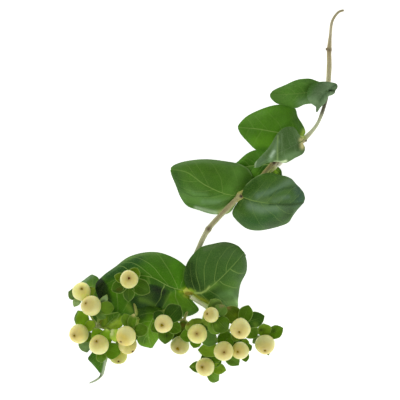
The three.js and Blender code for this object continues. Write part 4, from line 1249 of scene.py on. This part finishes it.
def berryMesh(berry):
    build = {**berryBuild, **berry}
    middle, radius, axis, _ = layOut(berry)
    seed = Vector((random.uniform(0, 90), random.uniform(0, 90), 3))
    twist = random.uniform(0, 2 * math.pi)
    turn = axis.to_track_quat("Z", "Y").to_matrix().to_4x4() @ Matrix.Rotation(twist, 4, "Z")
    tipRadius, haloRadius = (wide / 2 / berry["radius"] for wide in build["dot"])
    skin, crown, rim, seat, halo = (shade(*build[name]) for name in ("skin", "crown", "rim", "seat", "halo"))
    bm = bmesh.new()
    tone = bm.verts.layers.float_color.new("tone")
    ball = bmesh.ops.create_uvsphere(bm, u_segments=build["around"], v_segments=build["down"], radius=1)
    for vert in ball["verts"]:
        way = vert.co.copy()
        fall = way.angle(Vector((0, 0, 1)))
        lobe = math.cos(build["lobeCount"] * math.atan2(way.y, way.x))
        brow = build["brow"] * bump(fall - build["browAt"], build["browWidth"])
        size = 1 - build["dimple"] * bump(fall, build["dimpleWidth"]) + brow
        swell = build["lobesAbove"] if way.z > 0 else build["lobesBelow"]
        size += build["lobes"] * lobe * math.sin(fall) ** 2 * swell
        size += (build["uneven"] * noise.noise(way * build["unevenPatches"] + seed)
                 + build["pitted"] * noise.noise(way * build["pittedPatches"] + seed))
        seam = bump(abs(lobe + 1), build["seamWidth"]) * bump(fall - build["seamAt"], build["seamReach"])
        size -= build["seam"] * seam
        vert.co = way * size
        vert.co.z *= 1 if way.z > 0 else build["flatBelow"]
        colour = skin.lerp(crown, build["crownShare"] * bump(fall, build["crownWidth"]))
        # the sides paler: painted rim light
        beyond = max(0, fall - build["rimLightFrom"])
        colour = colour.lerp(rim, build["rimLightShare"] * (1 - bump(beyond, build["rimLightWidth"])))
        colour = colour.lerp(seat, build["seatShare"] * bump(math.pi - fall, build["seatWidth"]))
        colour = colour.lerp(halo, build["haloShare"] * bump(fall, haloRadius))
        blotch = 1 + build["blotch"] * noise.noise(way * build["blotchPatches"] + seed)
        vert[tone] = (*(colour * blotch), 1)

    # the dry tip, a short crumpled stub with three corners in the dimple
    skinFaces = set(bm.faces)
    tip = bmesh.ops.create_cone(
        bm, cap_ends=True, segments=build["tipSides"], radius1=tipRadius * build["tipFoot"],
        radius2=tipRadius * build["tipTop"], depth=build["tipLength"] * mm / radius,
        matrix=Matrix.Translation((0, 0, build["tipAt"])))
    rims = {edge for vert in tip["verts"] for edge in vert.link_edges}
    sides = [edge for edge in rims if abs(edge.verts[0].co.z - edge.verts[1].co.z) > build["tipLevel"]]
    bmesh.ops.subdivide_edges(bm, edges=sides, cuts=2, use_grid_fill=True)
    dryFaces = [face for face in bm.faces if face not in skinFaces]
    for face in dryFaces:
        face.material_index = 1
    for vert in {vert for face in dryFaces for vert in face.verts}:
        lobe = 1 + build["tipLobes"] * math.cos(build["lobeCount"] * math.atan2(vert.co.y, vert.co.x))
        vert.co.xy *= lobe * (1 + build["tipCrumple"] * noise.noise(vert.co * build["tipPatches"] + seed))
        vert[tone] = (*shade(*build["tipTone"]), 1)
    settled = Matrix.Translation(middle) @ turn @ Matrix.Scale(radius, 4)
    bmesh.ops.transform(bm, matrix=settled, verts=bm.verts)
    for vert in bm.verts:
        aside = vert.co - middle
        vert.co.x -= aside.x * build.get("narrow", 0) * max(0, aside.y / radius)
    return bm


def makeBerries():
    skin = berryMaterial()
    dry = dryMaterial()
    for number, berry in enumerate(berries, 1):
        made = addObject(f"berry{number:02d}", berryMesh(berry), [skin, dry])
        stand(made, f"berry_{number:02d}")
    print("berries:", len(berries))


# Calyxes: a short cup and five sepals

calyxBuild = {
    "cupRadius": 1.7,
    "cupHeight": 1.3,
    "cupSides": 20,
    "cupFoot": 0.6,  # the cup's narrow end, as a share of its wide one
    "cupTone": (132, 156, 64),
    "clear": 9,  # how far the cup counts as being from any vein or margin
    "root": 0.75,  # where a sepal starts, as a share of the cup's radius
    "arch": 0.55,
    "crowding": 1.6,  # more steps towards a sepal's round tip
    "narrowing": 0.45, "bluntest": 0.08, "roundness": 0.85,
    "thickness": 0.3,
    "stepsAlong": 22,
    "stepsAcross": 14,
    "veins": 4.5,
    "cupping": 0.5, "cuppingFrom": 0.1, "furrow": 0.16, "furrowWidth": 0.25,
    "ribbing": 0.05,
    "curl": (-0.3, 0.8), "curlHeight": 0.6,
    "uneven": 0.35, "unevenPatches": (2.5, 1.5), "wobble": 0.06, "wobblePatches": 3,
    "veinStrength": 0.6, "blotch": 0.25, "blotchPatches": 2,
    "widestAt": 0.52,
    "back": (104, 134, 60),
}

# some greens here are sepal colours made lighter as painted light, against the shade they lie in among the
# berries: lit, yellow, sage and the one after sage
sepalTones = {
    "bright": (92, 132, 28), "mid": (80, 116, 26), "dark": (54, 88, 22), "olive": (92, 120, 24),
    "grey": (104, 132, 76), "soft": (96, 132, 56), "pale": (146, 174, 116), "yellow": (154, 190, 52),
    "blue": (98, 138, 62), "lime": (196, 228, 86), "straw": (146, 174, 64), "lit": (144, 190, 46),
    "sage": (114, 146, 66), "fresh": (108, 146, 44), "fair": (128, 164, 44), "deep": (66, 101, 19),
}


def sepalWidth(u):
    # share of the full width, round at the tip and narrower at the seat
    build = calyxBuild
    widest = build["widestAt"]
    if u < widest:
        return 1 - build["narrowing"] * ((widest - u) / widest) ** 2
    return max(build["bluntest"], max(0, 1 - ((u - widest) / (1 - widest)) ** 2) ** build["roundness"])


def addSepal(bm, layers, seat, axis, sepal, marks):
    build = calyxBuild
    across, down, height, width, colour = sepal
    tip = place([across, down, height])
    outward = tip - seat
    outward = (outward - axis * outward.dot(axis)).normalized()
    start = seat + outward * build["cupRadius"] * build["root"] * mm
    reach = (tip - start).length
    bend = start + outward * reach * build["arch"]
    bend.z = max(bend.z, build["thickness"] / 2 * mm)
    viewer = Vector((0, 0, 1))
    seed = random.uniform(0, 90)
    curl = random.uniform(*build["curl"])
    tones = [(bm.verts.layers.float_color["tone"], shade(*sepalTones[colour]), marks),
             (bm.verts.layers.float_color["toneUnder"], shade(*build["back"]), [])]
    unevenAlong, unevenAcross = build["unevenPatches"]
    sheet = bmesh.ops.create_grid(bm, x_segments=build["stepsAlong"], y_segments=build["stepsAcross"], size=1)
    for vert in sheet["verts"]:
        u = 1 - ((1 - vert.co.x) / 2) ** build["crowding"]
        v = vert.co.y
        point = start * (1 - u) ** 2 + bend * 2 * u * (1 - u) + tip * u ** 2
        tangent = ((bend - start) * (1 - u) + (tip - bend) * u).normalized()
        sideways = viewer.cross(tangent).normalized()
        up = tangent.cross(sideways)
        halfWidth = width / 2 * mm * sepalWidth(u)
        wobble = 1 + build["wobble"] * noise.noise(Vector((u * build["wobblePatches"], seed, v)))
        lift = build["cupping"] * v * v * math.sin(math.pi * min(1, u + build["cuppingFrom"])) * mm
        lift -= build["furrow"] * bump(v * halfWidth / mm, build["furrowWidth"]) * (1 - u) * mm
        lift += build["ribbing"] * math.cos(2 * math.pi * v * build["veins"] / 2) * mm
        lift += curl * u ** 3 * mm * build["curlHeight"]
        lift += build["uneven"] * noise.noise(Vector((u * unevenAlong, v * unevenAcross, seed))) * mm
        vert.co = point + sideways * v * halfWidth * wobble + up * lift
        layers.write(
            vert, ribAway=abs(v) * halfWidth / mm, ribStrength=1 - u, veinPhase=v * build["veins"],
            veinGap=halfWidth / mm / build["veins"],
            veinStrength=build["veinStrength"] * (1 - u ** 2) * (1 - abs(v) ** 3),
            edgeAway=min((1 - abs(v)) * halfWidth, (1 - u) * reach) / mm)
        base = 1 + build["blotch"] * noise.noise(Vector((u * build["blotchPatches"], v, seed)))
        for layer, tone, ownMarks in tones:
            vert[layer] = (*addStainsAndPaintedLight(tone * base, vert.co, ownMarks), 1)


def calyxMesh(berry):
    build = calyxBuild
    _, _, axis, foot = layOut(berry)
    seat = foot - axis * build["cupHeight"] / 2 * mm
    bm = bmesh.new()
    layers = BladeLayers(bm)
    for name in ("tone", "toneUnder"):
        bm.verts.layers.float_color.new(name)
    marks = readStainsAndPaintedLight(berry.get("stainsAndPaintedLight", []))
    for sepal in berry["sepals"]:
        addSepal(bm, layers, seat, axis, sepal, marks)

    # the cup, an open cone whose wide end meets the berry
    turn = axis.to_track_quat("Z", "Y").to_matrix().to_4x4()
    cup = bmesh.ops.create_cone(
        bm, cap_ends=True, segments=build["cupSides"], radius1=build["cupRadius"] * build["cupFoot"] * mm,
        radius2=build["cupRadius"] * mm, depth=build["cupHeight"] * mm,
        matrix=Matrix.Translation(seat) @ turn)
    lid = max({face for vert in cup["verts"] for face in vert.link_faces},
              key=lambda face: face.calc_center_median().dot(axis))
    clear = build["clear"]
    for vert in cup["verts"]:
        for name in ("tone", "toneUnder"):
            vert[bm.verts.layers.float_color[name]] = (*shade(*build["cupTone"]), 1)
        layers.write(vert, ribAway=clear, edgeAway=clear, veinGap=clear, veinPhase=0.5)
    bmesh.ops.delete(bm, geom=[lid], context="FACES_ONLY")
    return bm


def makeCalyxes():
    edge = edgeMaterial("sepalEdge", (138, 164, 70))
    faces = [bladeMaterial("sepalUpper"), bladeMaterial("sepalUnder"), edge]
    for number, berry in enumerate(berries, 1):
        made = addSheet(f"calyx{number:02d}", calyxMesh(berry), faces, calyxBuild["thickness"] * mm)
        stand(made, f"calyx_{number:02d}")
    print("calyxes:", len(berries))


# Rods: stem, flower stalks and the short stalk of each berry


grainStretch = 0.12  # how much slower the streaks change along a rod than around it


def newRods():
    bm = bmesh.new()
    bm.verts.layers.float_vector.new("grain")
    bm.verts.layers.int.new("spoke")
    return bm


def growRod(bm, route, radiusAt, sides, steps, shapeAt=None):
    # extrudes a ring along the route, turning it as little as it can, and closes both ends
    grain = bm.verts.layers.float_vector["grain"]
    spoke = bm.verts.layers.int["spoke"]
    ring = bmesh.ops.create_circle(bm, segments=sides, radius=1)["verts"]
    edges = list({edge for vert in ring for edge in vert.link_edges})
    for number, vert in enumerate(ring):
        vert[spoke] = number
    heading = route.heading(0)
    turn = heading.to_track_quat("Z", "Y")
    for step in range(steps + 1):
        along = step / steps
        turn = heading.rotation_difference(route.heading(along)) @ turn
        heading = route.heading(along)
        if step:
            made = bmesh.ops.extrude_edge_only(bm, edges=edges)["geom"]
            ring = [part for part in made if isinstance(part, bmesh.types.BMVert)]
            edges = [part for part in made if isinstance(part, bmesh.types.BMEdge)
                     and part.verts[0] in ring and part.verts[1] in ring]
        centre = route.at(along)
        radius = radiusAt(along)
        for vert in ring:
            angle = 2 * math.pi * vert[spoke] / sides
            way = Vector((math.cos(angle), math.sin(angle), 0))
            vert[grain] = (*(way.xy * radius / mm), along * route.length / mm * grainStretch)
            vert.co = centre + turn @ way * radius * (shapeAt(along, angle) if shapeAt else 1)
        if step in (0, steps):
            bmesh.ops.contextual_create(bm, geom=edges)


stem = {
    "radius": 1.45,
    "sides": 24,
    "steps": 300,
    "ridge": 0.05,
    "uneven": 0.09,
    "unevenPatches": (1.2, 38),
    "cutInset": 0.25, "cutDepth": 0.06, "budSteps": (14, 10),
    "places": [
        [343.7, 10.3, 0.66], [338.8, 12, 0.75], [332.5, 20.5, 0.9], [330.3, 35.7, 1.7], [329.2, 49, 3.2],
        [329.2, 66, 4.8], [327.6, 88, 8], [323, 110, 10], [316, 126, 12], [303, 140, 13.5],
        [289, 151.5, 14], [274, 163, 14], [259, 179, 14.5], [240, 196, 15], [220, 216, 15],
        [208.5, 229, 14.5], [199, 247, 13.5], [191, 270, 13.5], [188, 292.5, 14],
    ],
    "shares": [
        0.45, 0.5, 0.55, 0.62, 0.9, 1, 0.95, 0.72, 0.7, 0.95, 0.9, 1, 0.95, 1.05, 1, 1.05, 0.95, 0.9, 1.3,
    ],
    "tones": [
        [10, (176, 168, 132)], [30, (208, 202, 168)], [49, (188, 176, 134)], [80, (216, 212, 168)],
        [104, (162, 164, 140)], [128, (212, 222, 182)], [150, (164, 160, 112)], [180, (172, 164, 112)],
        [205, (176, 174, 124)], [232, (194, 196, 152)], [260, (172, 180, 138)], [292, (150, 166, 84)],
    ],
    "stainsAndPaintedLight": [
        [[[326.5, 49], [330, 50]], 2, (110, 92, 62), 0.7],
        [[[326, 44], [325.5, 58]], 0.8, (160, 148, 112), 0.5],
        [[[326, 99], [322.5, 111]], 3.2, (102, 98, 78), 0.85],
        [[[299, 136.5], [304, 137.5]], 2.4, (176, 198, 84), 0.85],
        [[[300, 142], [304, 146]], 3, (212, 190, 150), 0.85],
        [[[306.3, 140.8]], 1.2, (92, 72, 46), 0.9],
        [[[274, 162.5]], 2, (60, 36, 22), 0.95, 3],
        [[[270, 164.5], [264, 170.5], [260, 175]], 1.6, (160, 154, 84), 0.85],
        # cream buds beside node 3, pushed near white as painted light against the shade of the leaf above,
        # these two
        [[[284, 160.5], [280, 163.8], [276, 167.5]], 2.2, (255, 255, 232), 0.97, 3],
        [[[275, 168], [268, 173]], 1.8, (238, 246, 160), 0.95, 3],
        [[[236, 191], [243, 192], [245, 198], [240, 202]], 2.4, (190, 196, 92), 0.85],
        [[[241.2, 196.5]], 1.9, (50, 36, 18), 0.97, 3],
        [[[232, 202], [222, 213], [210, 227]], 1.5, (162, 154, 112), 0.7],
        # painted reflection: a pale green edge on the lower side of the stem
        [[[239, 204], [226, 214.5], [213, 229]], 1.2, (210, 232, 184), 0.8],
        [[[208.5, 229]], 2.8, (88, 64, 38), 0.9],
        [[[182, 291], [189, 289], [195, 292]], 3.8, (240, 252, 108), 0.95, 3],
        [[[186.3, 293.3], [191.3, 293.6]], 2, (152, 146, 34), 0.95, 3],
    ],
    # where the stem swells: [spot, how much, over how many millimetres]
    "swellings": [
        [[329.3, 49], 0.22, 1.1], [[303, 140], 0.28, 1.6], [[274, 163], 0.3, 1.5],
        [[241, 195.5], 0.5, 1.8], [[208.5, 229], 0.25, 1.2], [[188.5, 290], 0.4, 1.8],
    ],
    # buds and scars: [spot, height], then half their size along the stem, across it and upwards
    "buds": [
        [[326.4, 49, 3.4], [0.8, 0.55, 0.55]], [[306.2, 140.9, 14.2], [0.6, 0.5, 0.5]],
        [[301.5, 138, 15.2], [1.4, 1.4, 1.4]], [[274, 162.6, 15.2], [0.8, 0.7, 0.7]],
        [[279.4, 163.9, 14], [3, 1.2, 1.1]], [[273.8, 168.4, 13.6], [3.4, 1.2, 1]],
        [[239.5, 195.7, 16.4], [2.1, 1.7, 1.7]], [[241.2, 196.5, 18], [0.6, 0.55, 0.55]],
        [[208.4, 229, 15.6], [0.8, 0.5, 0.5]],
        [[188.3, 291.2, 15.4], [2.5, 3.6, 1.4]], [[188.8, 293.4, 16], [1.3, 2.3, 1.3]],
    ],
}


stemLook = {"streaks": 3.2, "streakTint": (0.72, 0.67, 0.58, 1), "rougher": 0.1, "smoother": 0.05}


def stemMaterial(name, contrast, roughness):
    material, tree, shader = startMaterial(name)
    streaks = placeGroup(tree, "streaks", {"Scale": stemLook["streaks"], "Contrast": contrast})
    look = placeMottle(tree, attribute(tree, "tone", "Color"), coarse=220.0, fine=1500.0, strength=0.18)
    dark = blendColours(tree, 1.0, look.outputs["Colour"], stemLook["streakTint"], "MULTIPLY")
    colour = blendColours(tree, streaks.outputs["Streaks"], dark, look.outputs["Colour"])
    tree.links.new(colour, shader.inputs["Base Color"])
    rough = remap(tree, streaks.outputs["Streaks"], 0.0, 1.0,
                  roughness + stemLook["rougher"], roughness - stemLook["smoother"])
    tree.links.new(rough, shader.inputs["Roughness"])
    addRelief(tree, shader, streaks.outputs["Streaks"], strength=0.6, distance=0.00015)
    return material


def between(stations, at):
    # the value at a station or between two of them
    if at <= stations[0][0]:
        return stations[0][1]
    for (low, first), (high, second) in zip(stations, stations[1:]):
        if at <= high:
            part = (at - low) / (high - low)
            part = part * part * (3 - 2 * part)
            return first * (1 - part) + second * part
    return stations[-1][1]


def makeStem():
    route = Route([place(spot) for spot in stem["places"]])
    stations = [(route.shareOf(i), share) for i, share in enumerate(stem["shares"])]
    swellings = [(route.nearest(spot), grown, wide) for spot, grown, wide in stem["swellings"]]
    bm = newRods()
    patchesAround, patchesAlong = stem["unevenPatches"]

    def radiusAt(along):
        swollen = 0
        for here, grown, wide in swellings:
            swollen += grown * bump((along - here) * route.length / mm, wide)
        return stem["radius"] * mm * between(stations, along) * (1 + swollen)

    def shapeAt(along, angle):
        across = Vector((math.cos(angle), math.sin(angle), 0)) * patchesAround
        rough = noise.noise(across + Vector((0, 0, along * patchesAlong)))
        return 1 + stem["ridge"] * math.cos(2 * angle) + stem["uneven"] * rough

    growRod(bm, route, radiusAt, stem["sides"], stem["steps"], shapeAt)
    cutEnd = min(bm.faces, key=lambda face: (face.calc_center_median() - route.at(0)).length)
    bmesh.ops.inset_individual(
        bm, faces=[cutEnd], thickness=stem["cutInset"] * mm, depth=-stem["cutDepth"] * mm)
    budAround, budDown = stem["budSteps"]
    for spot, halves in stem["buds"]:
        turn = route.heading(route.nearest(spot[:2])).to_track_quat("X", "Z").to_matrix().to_4x4()
        size = Matrix.Diagonal([half * mm for half in halves] + [1])
        bmesh.ops.create_uvsphere(
            bm, u_segments=budAround, v_segments=budDown, radius=1,
            matrix=Matrix.Translation(place(spot)) @ turn @ size)

    tones = [(down, shade(*colour)) for down, colour in stem["tones"]]
    marks = readStainsAndPaintedLight(stem["stainsAndPaintedLight"])
    paint(bm, "tone", lambda point: addStainsAndPaintedLight(between(tones, pixelOf(point).y), point, marks))
    made = addObject("mainStem", bm, [stemMaterial("stemBark", contrast=2.2, roughness=0.62)])
    stand(made, "main_stem")
    print("stem done")


# Flower stalks: a stalk with its forks, and for each fork the berries it carries

stalkBuild = {
    "radius": 0.7,
    "sides": 14,
    "steps": 40,
    "swelling": (0.3, 1.1),  # at a fork: how much, over how many millimetres
    "end": 1.2,  # the radius of the thin end, in twig radii
    "twigSteps": 16, "twigPoints": 8, "twigSamples": 80,
    "twigSeat": 0.9,  # how far up the cup a twig ends, as a share of its height, counted from the berry
    "twigRise": 0.35, "twigFoot": 0.7, "twigHead": 0.35,
}

cymes = {
    "cyme_stalk_left": {
        "root": [185.4, 295.2, 13], "rootRadius": 1.05, "swelling": (1, 2.6),
        "forks": [
            {"route": [[172, 306, 8], [154, 314, 6], [138, 318, 6.5]], "carries": [6, 3]},
            {"route": [[122, 322, 7.5], [109, 328, 7.5]], "carries": [7, 8, 5]},
            {"route": [[97, 325.5, 7]], "carries": [1, 2, 4]},
        ],
        "tone": (176, 200, 92),
        "stainsAndPaintedLight": [
            # the yellow-green fork, made brighter as painted light against the shade under the berries
            [[[107, 328], [122, 321]], 6, (160, 192, 62), 0.95, 3],
            [[[130, 301], [133, 306]], 2.4, (170, 152, 82), 0.9, 3],
            [[[134.5, 310]], 2, (206, 204, 122), 0.9, 3],
            [[[134, 314], [131, 317]], 2.2, (250, 246, 160), 0.9, 3],
            # painted light: the swelling made near white against the shade around it
            [[[97, 325.5]], 2.6, (255, 255, 206), 0.9, 3],
        ],
    },
    "cyme_stalk_middle": {
        "root": [188.6, 295.8, 11.2], "rootRadius": 1.05,
        "forks": [
            {"route": [[188, 308, 8.5], [184, 320, 7.5]], "carries": [9, 11, 10]},
        ],
        "tone": (184, 192, 104),
        "stainsAndPaintedLight": [[[[183, 319], [191, 319]], 3, (226, 222, 150), 0.8]],
    },
    "cyme_stalk_right": {
        "root": [191, 296, 15], "rootRadius": 1.7,
        "forks": [
            {"route": [[199, 301.5, 14], [207, 307, 14], [217, 322, 11]], "carries": [12]},
            {"route": [[226, 333, 9]], "carries": [13, 14, 17]},
            {"route": [[238, 337, 7]], "carries": [15, 16]},
        ],
        "tone": (154, 174, 90),
        "stainsAndPaintedLight": [
            [[[192, 297], [206, 306]], 6, (226, 250, 150), 0.97, 4],
            # painted highlight: a white line along the stalk's upper edge
            [[[190, 296.8], [197, 301], [205, 306.5]], 1.4, (250, 252, 226), 0.9],
            [[[193, 301], [206, 309.5]], 0.7, (200, 204, 186), 0.6],
        ],
    },
}


def twigRoute(fork, berry):
    build = stalkBuild
    _, _, axis, foot = layOut(berry)
    end = foot - axis * (calyxBuild["cupHeight"] * build["twigSeat"]) * mm
    reach = (fork - end).length
    approach = end - axis * reach * build["twigRise"]
    approach.z = max(approach.z, build["radius"] * mm)
    leave = fork.lerp(approach, 0.5)
    points = []
    for step in range(build["twigPoints"] + 1):
        t = step / build["twigPoints"]
        points.append(fork * (1 - t) ** 3 + leave * 3 * t * (1 - t) ** 2
                      + approach * 3 * t * t * (1 - t) + end * t ** 3)
    return Route(points, build["twigSamples"])


def twigRadius(along):
    # wider where it leaves the fork and under the berry
    build = stalkBuild
    wider = 1 + build["twigFoot"] * (1 - along) ** 4 + build["twigHead"] * along ** 6
    return build["radius"] * wider * mm


def makeStalks():
    material = stemMaterial("stalkSkin", contrast=1.4, roughness=0.5)
    for name, cyme in cymes.items():
        bm = newRods()
        spots = [cyme["root"]] + [spot for fork in cyme["forks"] for spot in fork["route"]]
        route = Route([place(spot) for spot in spots])
        knots = []
        count = 0
        for fork in cyme["forks"]:
            count += len(fork["route"])
            knots.append(route.shareOf(count))

        grown, wide = cyme.get("swelling", stalkBuild["swelling"])

        def radiusAt(along):
            base = cyme["rootRadius"] * (1 - along) + stalkBuild["radius"] * stalkBuild["end"] * along
            swelling = sum(bump((along - knot) * route.length / mm, wide) for knot in knots)
            return base * (1 + grown * swelling) * mm

        growRod(bm, route, radiusAt, stalkBuild["sides"], stalkBuild["steps"])
        for fork in cyme["forks"]:
            start = place(fork["route"][-1])
            for number in fork["carries"]:
                twig = twigRoute(start, berries[number - 1])
                growRod(bm, twig, twigRadius, stalkBuild["sides"], stalkBuild["twigSteps"])
        paint(bm, "tone", stainedAndPaintedLight(cyme["tone"], cyme["stainsAndPaintedLight"], spread=0.15))
        made = addObject(camel(name), bm, [material])
        stand(made, name)
    print("stalks:", len(cymes))


makeStudio()
makeStem()
makeStalks()
makeLeaves()
makeBerries()
makeCalyxes()
